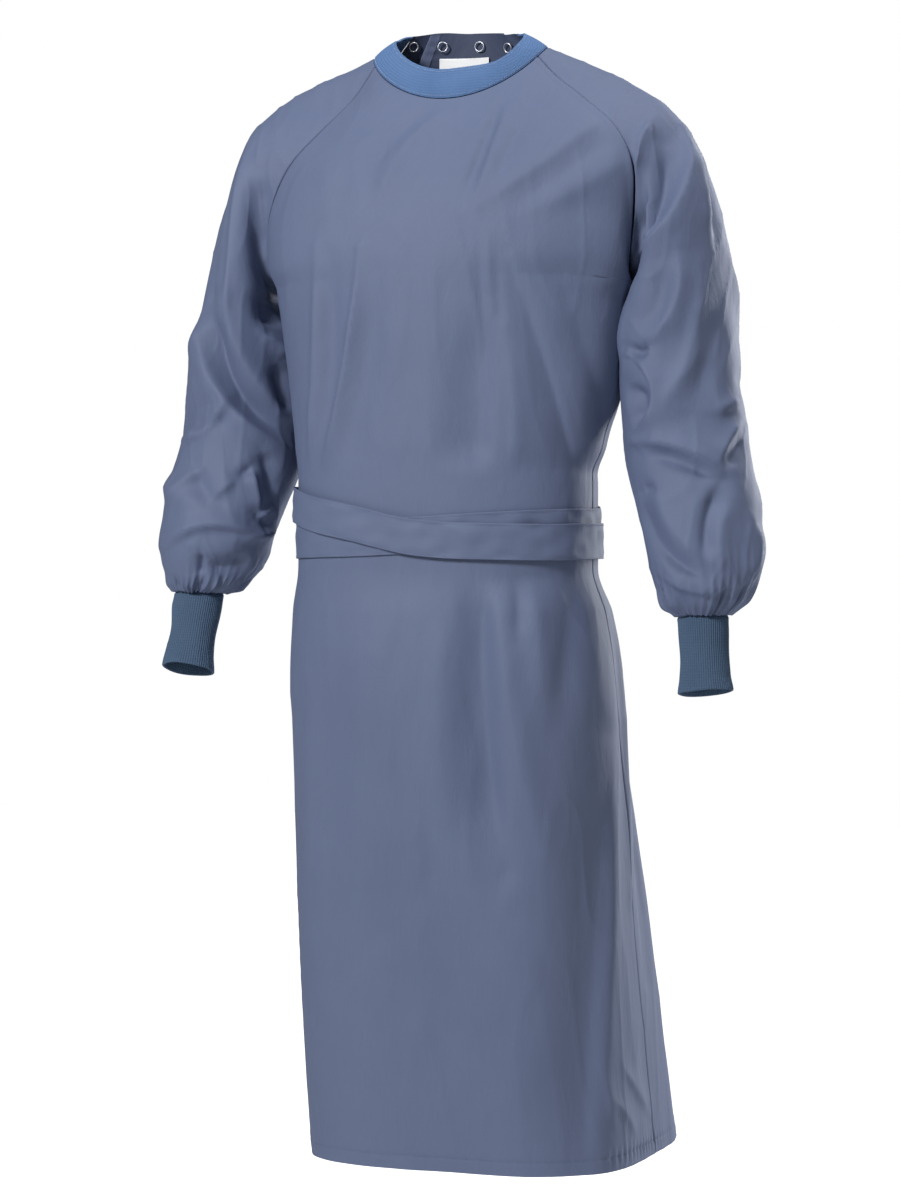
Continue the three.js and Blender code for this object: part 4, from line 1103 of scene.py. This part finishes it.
def make_cuff(side):
    turn, seed = SIDE[side], CUFF_SEEDS[side]
    round_share = np.arange(CUFF_RIBS * RIB_STEPS) / (CUFF_RIBS * RIB_STEPS)
    last = SLEEVE_RINGS[side][-1]
    centre = last[1:4]
    drop = CUFF_ENDS[side] - centre
    down = np.linspace(0, 1, CUFF_ROWS)[:, None]
    grip = CUFF_GRIP - 0.07 * np.sin(math.pi * down) + 0.04 * smooth(0.8, 1, down)
    reach = (ring_point(side, last, round_share) - centre) * grip[..., None]
    tilt = -down * (reach[..., 0] * drop[0] + reach[..., 1] * drop[1]) / drop[2]
    points = centre + reach + drop * down[..., None] * CUFF_SHARE
    points[..., 2] += tilt
    normals = grid_normals(points, True, turn)
    dice = np.random.default_rng(seed)
    wave = np.sin(2 * math.pi * 3 * round_share + dice.uniform(0, 6))
    wave = wave + 0.6 * np.sin(2 * math.pi * 5 * round_share + dice.uniform(0, 6))
    soft = 0.9 * soft_noise(points, (22, 22, 30), seed)
    rise = RIB_RISE * np.cos(2 * math.pi * CUFF_RIBS * round_share)
    rise = rise + 0.9 * wave * smooth(0.8, 1, down) + soft * smooth(0, 0.2, down)
    rise = rise + 0.8 * seam_profile(run_along(points, 0), False)
    points = points + normals * rise[..., None]
    whole = turned_hem(points, grid_normals(points, True, turn), CUFF_TURN, CUFF_ROLL)
    inward = unit(centre - whole[:1])
    allowance = [whole[:1] + inward * width + [0, 0, up] for width, up in CUFF_ALLOWANCE]
    whole = np.concatenate([*allowance, whole])
    obj = cloth_object(f"cuff_{side}_knit", whole, True, turn, cuff_rib)
    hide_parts(f"cuff_{side}")
    return obj


cuffs = {side: make_cuff(side) for side in SIDE}

# %% [markdown]
# ## Neck band
# The band is one strip of finer rib, folded double with the fold at the top and sewn on with a pale
# overlock thread. Its ribs run up and down and its face is a little full between seam and fold.

# %% Neck band
NECK_RIB_MM, NECK_RIB_STEPS, NECK_RIB_RISE = 1.7, 5, 0.22
NECK_ROWS, BAND_FULL, BAND_FOLD = 15, 1.3, 1.2
BAND_HEIGHT, BAND_SEAM_DIP = 34, 0.7


def make_band():
    first, last = 180 - NECK_BACK_CORNER, 360 + NECK_BACK_CORNER
    turns = np.linspace(first, last, 400)
    run = run_along(neck_point(turns, 0.5), 0)
    ribs = int(run[-1] / NECK_RIB_MM)
    shares = np.linspace(0, 1, ribs * NECK_RIB_STEPS + 1)
    angles = np.interp(shares * run[-1], run, turns)
    up = np.linspace(1, 0, NECK_ROWS)[:, None]
    face = neck_point(angles, up)
    normals = grid_normals(face, False, 1)
    rise = BAND_FULL * np.sin(math.pi * up) + NECK_RIB_RISE * np.cos(2 * math.pi * ribs * shares)
    rise = rise + 0.5 * soft_noise(face, (30, 30, 20), 3) - BAND_SEAM_DIP * bell(up * BAND_HEIGHT, 1.2)
    face = face + normals * rise[..., None]
    top, out = face[0], normals[0]
    lift = unit(face[0] - face[2])
    fold = [
        top + BAND_FOLD * (lift * math.sin(a) - out * (1 - math.cos(a)))
        for a in np.linspace(math.pi, 0.3, 6)
    ]
    inner = face[1:] - normals[1:] * 2 * BAND_FOLD
    whole = np.concatenate([inner[::-1], np.array(fold), face])
    obj = cloth_object("neck_band_knit", whole, False, 1, neck_rib)
    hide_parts("neck_band")
    return obj, face, normals


band, band_face, band_out = make_band()

# %% [markdown]
# ## Belt
# The belt is a strip of the gown's own cloth, doubled and stitched along both edges. It goes twice
# round the waist, crosses itself in front and is tied behind, where its ends hang. A table follows
# it round: the angle, the height of its middle and how far it stands off the cloth. Its section is
# a thin flat loop, so both faces and both edges are there.

# %% Belt
BELT_WIDTH, BELT_THICK, BELT_OFF = 40.0, 1.3, 0.7
BELT_COLUMNS = np.array([0.5, 0.492, 0.47, 0.44, 0.4, 0.32, 0.22, 0.11, 0])
BELT_COLUMNS = np.concatenate([BELT_COLUMNS, -BELT_COLUMNS[-2::-1]])
BELT_MIDDLE = len(BELT_COLUMNS) // 2
BELT_TURNS = np.array([
    # angle, z, out
    [95, -503, 1.3],
    [180, -503, 1.3],
    [240, -502, 1.3],
    [280, -498, 1.3],
    [333, -491, 1.3],
    [370, -486, 1.3],
    [450, -462, 1.3],
    [500, -459, 3.4],
    [540, -460, 5.0],
    [560, -463, 5.0],
    [575, -473, 5.0],
    [598, -485, 5.0],
    [625, -499, 5.0],
    [644, -504, 5.0],
    [663, -506, 5.0],
    [693, -507, 5.0],
    [730, -504, 5.0],
    [801, -503, 5.0],
], float)
TAIL_TURN, TAIL_LENGTH, WAIST_MM_PER_DEGREE = 34.0, 250.0, 2.1


def body_surface(angle, z, out):
    """On the finished cloth of the body, moved out by a distance, and the outward direction."""
    point = body_point(angle, z)
    round_way = body_point(angle + 0.5, z) - body_point(angle - 0.5, z)
    up_way = body_point(angle, z + 2) - body_point(angle, z - 2)
    normal = unit(np.cross(round_way, up_way))
    rise = belt_calm(point[..., 2]) * hang(point, normal)
    return point + normal * (out + rise)[..., None], normal


def belt_line():
    """Angle, height, stand-off and heading along the belt; heading 90 hangs straight down."""
    turns = np.linspace(BELT_TURNS[0, 0], BELT_TURNS[-1, 0], 460)
    rest = smooth_path(BELT_TURNS[:, 0], BELT_TURNS[:, 1:], turns)
    middle = np.column_stack([turns, rest, 0 * turns])

    def tail(start, way, out):
        bend = np.linspace(4, 90, 22)
        curve = np.column_stack([
            start[0] + way * TAIL_TURN * np.sin(np.radians(bend)) / WAIST_MM_PER_DEGREE,
            start[1] - TAIL_TURN * (1 - np.cos(np.radians(bend))),
            mix(start[2], out, bend / 90),
            bend,
        ])
        hang = np.linspace(4, TAIL_LENGTH, 64)
        sway = way * 0.7 * np.sin(hang / 60) / WAIST_MM_PER_DEGREE
        straight = np.column_stack([
            curve[-1, 0] + sway, curve[-1, 1] - hang, out + 0 * hang, 90 + 0 * hang,
        ])
        return np.concatenate([curve, straight])

    first_tail = tail(middle[0], -1, 3.2)[::-1] * [1, 1, 1, -1]
    return np.concatenate([first_tail, middle, tail(middle[-1], 1, 6.6)])


def make_belt():
    across = np.concatenate([BELT_COLUMNS, BELT_COLUMNS[-2:0:-1]])
    face = np.concatenate([np.ones(len(BELT_COLUMNS)), -np.ones(len(BELT_COLUMNS) - 2)])
    face[[0, len(BELT_COLUMNS) - 1]] = 0
    angle, z, out, heading = (column[:, None] for column in belt_line().T)
    width = across * BELT_WIDTH
    heading = np.radians(heading)
    at_angle = angle + width * np.sin(heading) / WAIST_MM_PER_DEGREE
    points, normals = body_surface(at_angle, z + width * np.cos(heading), out + BELT_OFF + 0 * width)
    run = run_along(points[:, BELT_MIDDLE : BELT_MIDDLE + 1], 0)
    diagonal = run + 0.8 * width
    crease = 0.9 * np.sin(diagonal / 17 + 2.4 * np.sin(run / 71)) * np.sin(run / 47 + 0.6) ** 2
    crease = crease + 0.5 * soft_noise(points, (18, 18, 12), 71)
    stitch_dip = 0.25 * bell((np.abs(across) - 0.43) * BELT_WIDTH, 1.2)
    rise = BELT_THICK / 2 * face * (1 - stitch_dip) + 1.5 * crease * smooth(0.5, 0.36, np.abs(across))
    points = points + normals * rise[..., None]
    obj = cloth_object("belt_strip", points, True, -1, belt_cloth)
    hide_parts("belt")
    print(f"belt: {run[-1, 0]:.0f} mm along its middle")
    return obj, points, normals


belt, belt_grid, belt_out = make_belt()

# %% [markdown]
# ## Knot
# Behind, the belt is tied once. A tied strip of doubled cloth bunches into a flattened lump with a
# band of cloth passing over it. The lump is a squashed ball with folded ridges, and the band is a
# short strip bent over its middle.

# %% Knot
KNOT = dict(angle=90.0, z=-506.0, out=13.7, half_width=20, half_depth=6.2, half_height=23)
BAND_BEND, BAND_HALF = 1.25, 9.5  # how far the strip over the knot bends, and half its width


def make_knot():
    centre, _ = body_surface(*(np.array(KNOT[key]) for key in ("angle", "z", "out")))
    lon = np.linspace(0, 2 * math.pi, 65)[:-1][None, :]
    lat = np.linspace(0.02, math.pi - 0.02, 41)[:, None]
    ball = np.stack([np.sin(lat) * np.cos(lon), np.sin(lat) * np.sin(lon), np.cos(lat) + 0 * lon], axis=-1)
    pinch = 1 - 0.16 * np.cos(3 * ball[..., 2]) * (1 - ball[..., 2] ** 2)
    ridges = 0.055 * (1 - 2 * np.abs(np.sin(3.2 * ball[..., 0] + 1.8 * ball[..., 2])) ** 0.8)
    ball = ball * (pinch * (1 + ridges))[..., None]
    size = np.array([KNOT["half_width"], KNOT["half_depth"], KNOT["half_height"]])
    lump = cloth_object("belt_knot_lump", centre + ball * size, True, 1, belt_cloth)
    bend = np.linspace(-BAND_BEND, BAND_BEND, 34)[:, None]
    side = np.linspace(-1, 1, 13)[None, :]
    half = BAND_HALF * (1 - 0.22 * np.cos(bend) ** 2)
    folds = 0.45 * np.cos(side * 7.5 + 0.8 * bend) + 0.5 * (1 - side**2)
    depth = (KNOT["half_depth"] + 0.4 + folds) * np.cos(bend) ** 0.7
    height = -KNOT["half_height"] * 0.98 * np.sin(bend) / math.sin(BAND_BEND) + 0 * side
    strip = centre + np.stack([half * side + 3.0 * np.sin(bend), depth, height], axis=-1)
    over = cloth_object("belt_knot_band", strip, False, -1, belt_cloth)
    for obj in (lump, over):
        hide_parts("belt_knot")
    return lump, over


knot_parts = make_knot()

# %% [markdown]
# ## Ring snaps and label
# Four open ring snaps sit inside the back neck, where the panels close. Each is a pressed ring with
# a rounded face, made as a profile turned round its centre. Each is moved a few millimetres from its
# solid, to where the picture shows it. Below them hangs a label of white woven tape, left blank,
# sewn along its top edge.

# %% Ring snaps
RING_RADIUS = 5.3
# from the ring's centre line: outwards, and up from the cloth
RING_PROFILE = [(-0.6, -0.7), (-0.65, 0.1), (-0.5, 0.6), (-0.2, 0.9), (0.2, 0.9), (0.5, 0.6)]
RING_PROFILE += [(0.65, 0.1), (0.6, -0.7), (0.3, -0.9), (-0.3, -0.9)]
RING_SHARE = 0.61  # how far up the neck the snaps are
RING_SHIFTS = {1: [0, 0, 4.5], 2: [4.5, 0, 2.0], 3: [0, 0, -1.0], 4: [-4.5, 1.5, -3.0]}


def neck_angle(x, share):
    """The angle round the back of the neck at which a ring of the neck has a given x."""
    centre = mix(NECK_RINGS[0]["x"], NECK_RINGS[1]["x"], share)
    half = mix(NECK_RINGS[0]["half_width"], NECK_RINGS[1]["half_width"], share)
    return math.degrees(math.acos((x - centre) / half))


def neck_out(angle, share):
    """Which way faces out of the cloth behind the neck."""
    round_way = neck_point(angle + 0.5, share) - neck_point(angle - 0.5, share)
    up_way = neck_point(angle, share + 0.05) - neck_point(angle, share - 0.05)
    return unit(np.cross(round_way, up_way))


def make_snap(number):
    low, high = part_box(f"snap_ring_{number}")
    centre = np.array((low + high) / 2) * 1000 + RING_SHIFTS[number]
    inward = -neck_out(neck_angle(centre[0], RING_SHARE), RING_SHARE)
    aside = unit(np.cross(inward, [0, 0, 1]))
    upward = np.cross(aside, inward)
    angles = np.linspace(0, 2 * math.pi, 49)[:-1]
    spoke = np.cos(angles)[:, None] * aside + np.sin(angles)[:, None] * upward
    section = [*RING_PROFILE, RING_PROFILE[0]]
    rows = [centre + spoke * (RING_RADIUS + r) + inward * h for r, h in section]
    obj = cloth_object(f"snap_ring_{number}_metal", np.array(rows), True, -1, snap_metal)
    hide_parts(f"snap_ring_{number}")


for number in RING_SHIFTS:
    make_snap(number)

# %% Label
LABEL_HEIGHT, LABEL_SHARE, LABEL_DEPTH, LABEL_THICK = 25.0, 0.225, 6.3, 0.5


def make_label():
    low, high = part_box("neck_label")
    ends = [neck_angle(x * 1000, LABEL_SHARE) for x in (low.x + 0.001, high.x - 0.001)]
    angles = np.linspace(*ends, 28)
    out = np.stack([neck_out(a, LABEL_SHARE) for a in angles])
    top = neck_point(angles, LABEL_SHARE) - out * LABEL_DEPTH
    down = np.linspace(0, 1, 16)[:, None]
    curl = (0.5 * np.sin(3 * down) * np.sin(np.linspace(0, 3, 28)))[..., None]
    face = top - out * curl + down[..., None] * np.array([0, -1.0, -LABEL_HEIGHT])
    behind = face + grid_normals(face, False, 1) * LABEL_THICK
    both = np.concatenate([face, behind[::-1], face[:1]])
    obj = cloth_object("neck_label_tape", both, False, -1, white_tape)
    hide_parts("neck_label")
    return obj


label = make_label()

# %% [markdown]
# ## Stitches
# Stitches sit in rows beside seams and along hems. Each stitch is a small bead of thread, so the rows
# catch light as sewn ones do. The rows follow lines of each cloth grid at a set distance from its edge.

# %% Stitch rows
def grid_line(points, normals, from_edge):
    """A line across a grid at a distance from its last row, with the normals there."""
    down = run_along(points, 0)
    up = (down[-1:] - down)[::-1]

    def at_line(values):
        return np.array([
            [np.interp(from_edge, up[:, c], values[::-1, c, k]) for k in range(3)]
            for c in range(values.shape[1])
        ])

    return at_line(points), at_line(normals)


stitches = {"front_panel": [], "back_panel_over": [], "back_panel_under": [], "belt": [], "neck_band": []}
line, out = grid_line(front_grid, front_out, HEM_TURN)
stitches["front_panel"].append(stitch_row("front_hem_stitches", line, out, gown_thread))
for layer, (_, points, normals) in backs.items():
    rows = stitches[f"back_panel_{layer}"]
    line, out = grid_line(points, normals, HEM_TURN)
    rows.append(stitch_row(f"back_{layer}_hem_stitches", line, out, gown_thread))
    line, out = grid_line(np.swapaxes(points, 0, 1), np.swapaxes(normals, 0, 1), FACING_TURN)
    rows.append(stitch_row(f"back_{layer}_edge_stitches", line, out, gown_thread))
for column, edge in ((3, "upper"), (13, "lower")):
    row = stitch_row(f"belt_{edge}_stitches", belt_grid[:, column], belt_out[:, column], gown_thread)
    stitches["belt"].append(row)
for row_index, edge in ((1, "fold"), (-2, "seam")):
    line, out = band_face[row_index, ::3], band_out[row_index, ::3]
    row = stitch_row(f"band_{edge}_stitches", line, out, pale_thread, pitch=1.9, length=2.1, thick=0.7)
    stitches["neck_band"].append(row)
print("stitch rows:", sum(len(rows) for rows in stitches.values()))

# %% [markdown]
# ## Floor, light and finish
# The gown hangs as worn in a white studio. The key light stands high at the camera's left and is
# small enough to draw the folds. A soft one above and a weak wide one at the right open the shadows,
# and a tall narrow one skims the right-hand folds from behind.

# %% Floor and backdrop
def pale_floor(name):
    """A white studio floor, lit to the same white as the backdrop where the camera sees it."""
    material, tree = new_material(name)
    glow = add_node(tree, "ShaderNodeLightPath").outputs["Is Camera Ray"]
    shader = add_node(
        tree, "ShaderNodeBsdfPrincipled", Base_Color=linear("#f2f3f4"), Roughness=0.9,
        Emission_Color=white, Emission_Strength=glow,
    )
    add_node(tree, "ShaderNodeOutputMaterial", Surface=shader.outputs[0])
    return material


floor_mesh = bpy.data.meshes.new("studio_floor")
FLOOR_REACH, FLOOR_Z = 12.0, -1.72
corners = [(x * FLOOR_REACH, y * FLOOR_REACH, FLOOR_Z) for x, y in ((-1, -1), (1, -1), (1, 1), (-1, 1))]
print("floor", FLOOR_Z, "m below the neck's seam")
floor_mesh.from_pydata(corners, [], [(0, 1, 2, 3)])
floor_mesh.materials.append(pale_floor("pale_floor"))
floor = bpy.data.objects.new("studio_floor", floor_mesh)
bpy.context.scene.collection.objects.link(floor)

# %% Lights
world = bpy.data.worlds.new("white_studio")
world.use_nodes = True
world.node_tree.nodes.clear()
AMBIENT, BACKDROP = 0.17, 1.0
seen = add_node(world.node_tree, "ShaderNodeLightPath").outputs["Is Camera Ray"]
strength = add_node(world.node_tree, "ShaderNodeMapRange", Value=seen, To_Min=AMBIENT, To_Max=BACKDROP)
sky = add_node(world.node_tree, "ShaderNodeBackground", Color=white, Strength=strength.outputs[0])
add_node(world.node_tree, "ShaderNodeOutputWorld", Surface=sky.outputs[0])
bpy.context.scene.world = world
LIGHTS = [
    # name, place seen from the camera (right, towards it, up), width, height, watts
    ["key_left", (-1.9, 2.3, 1.7), 0.5, 0.8, 98],
    ["top_soft", (0.9, 0.4, 2.3), 0.8, 0.8, 28],
    ["fill_right", (2.6, 1.8, 0.2), 1.2, 1.8, 5],
    ["rim_right", (1.8, -1.5, 0.7), 0.3, 1.8, 54],
]


def make_light(name, place, width, height, watts):
    data = bpy.data.lights.new(name, "AREA")
    data.shape, data.size, data.size_y, data.energy = "RECTANGLE", width, height, watts
    light = bpy.data.objects.new(name, data)
    right = Vector((math.cos(VIEW_TURN), math.sin(VIEW_TURN), 0))
    near = Vector((math.sin(VIEW_TURN), -math.cos(VIEW_TURN), 0))
    light.location = VIEW_CENTRE + right * place[0] + near * place[1] + Vector((0, 0, place[2]))
    light.rotation_euler = (VIEW_CENTRE - light.location).to_track_quat("-Z", "Y").to_euler()
    bpy.context.scene.collection.objects.link(light)
    return light


bpy.context.scene.view_settings.view_transform = "Standard"
print("lights:", [make_light(*row).name for row in LIGHTS])

# %% [markdown]
# ## What each sheet was cut to
# Each piece of cloth is listed with the size it was cut to flat, and that size is printed. The sizes
# are the rectangles that the cuts of what shows fit in, with the hems turned out flat, all round for
# a tube. The areas are less because necks and armholes are cut away. The belt is given folded
# double, as it is worn.

# %% Sheets
SHEETS = [
    # piece, width and length in metres, area in square metres, how it is held, what it hangs from
    [front, (0.68, 1.28), 0.67, "hung", ["neck_band_knit"], stitches["front_panel"]],
    [backs["over"][0], (0.43, 1.34), 0.45, "hung", ["neck_band_knit"], stitches["back_panel_over"]],
    [backs["under"][0], (0.43, 1.34), 0.45, "hung", ["neck_band_knit"], stitches["back_panel_under"]],
    [sleeves["left"], (0.54, 0.77), 0.24, "gathered", ["front_panel_cloth"], []],
    [sleeves["right"], (0.54, 0.74), 0.24, "gathered", ["front_panel_cloth"], []],
    [cuffs["left"], (0.19, 0.12), None, "stretched", ["sleeve_left_cloth"], []],
    [cuffs["right"], (0.20, 0.12), None, "stretched", ["sleeve_right_cloth"], []],
    [band, (0.36, 0.07), None, "stretched", ["front_panel_cloth"], stitches["neck_band"]],
    [belt, (0.04, 2.53), None, "hung", ["front_panel_cloth"], [*stitches["belt"], *knot_parts]],
    [label, (0.059, 0.051), None, "hung", ["back_panel_over_cloth"], []],
]
for piece, flat, area, held, rests_on, with_pieces in SHEETS:
    print(f"{piece.name} cut {flat[0] * 1000:.0f} x {flat[1] * 1000:.0f} mm, {held}")
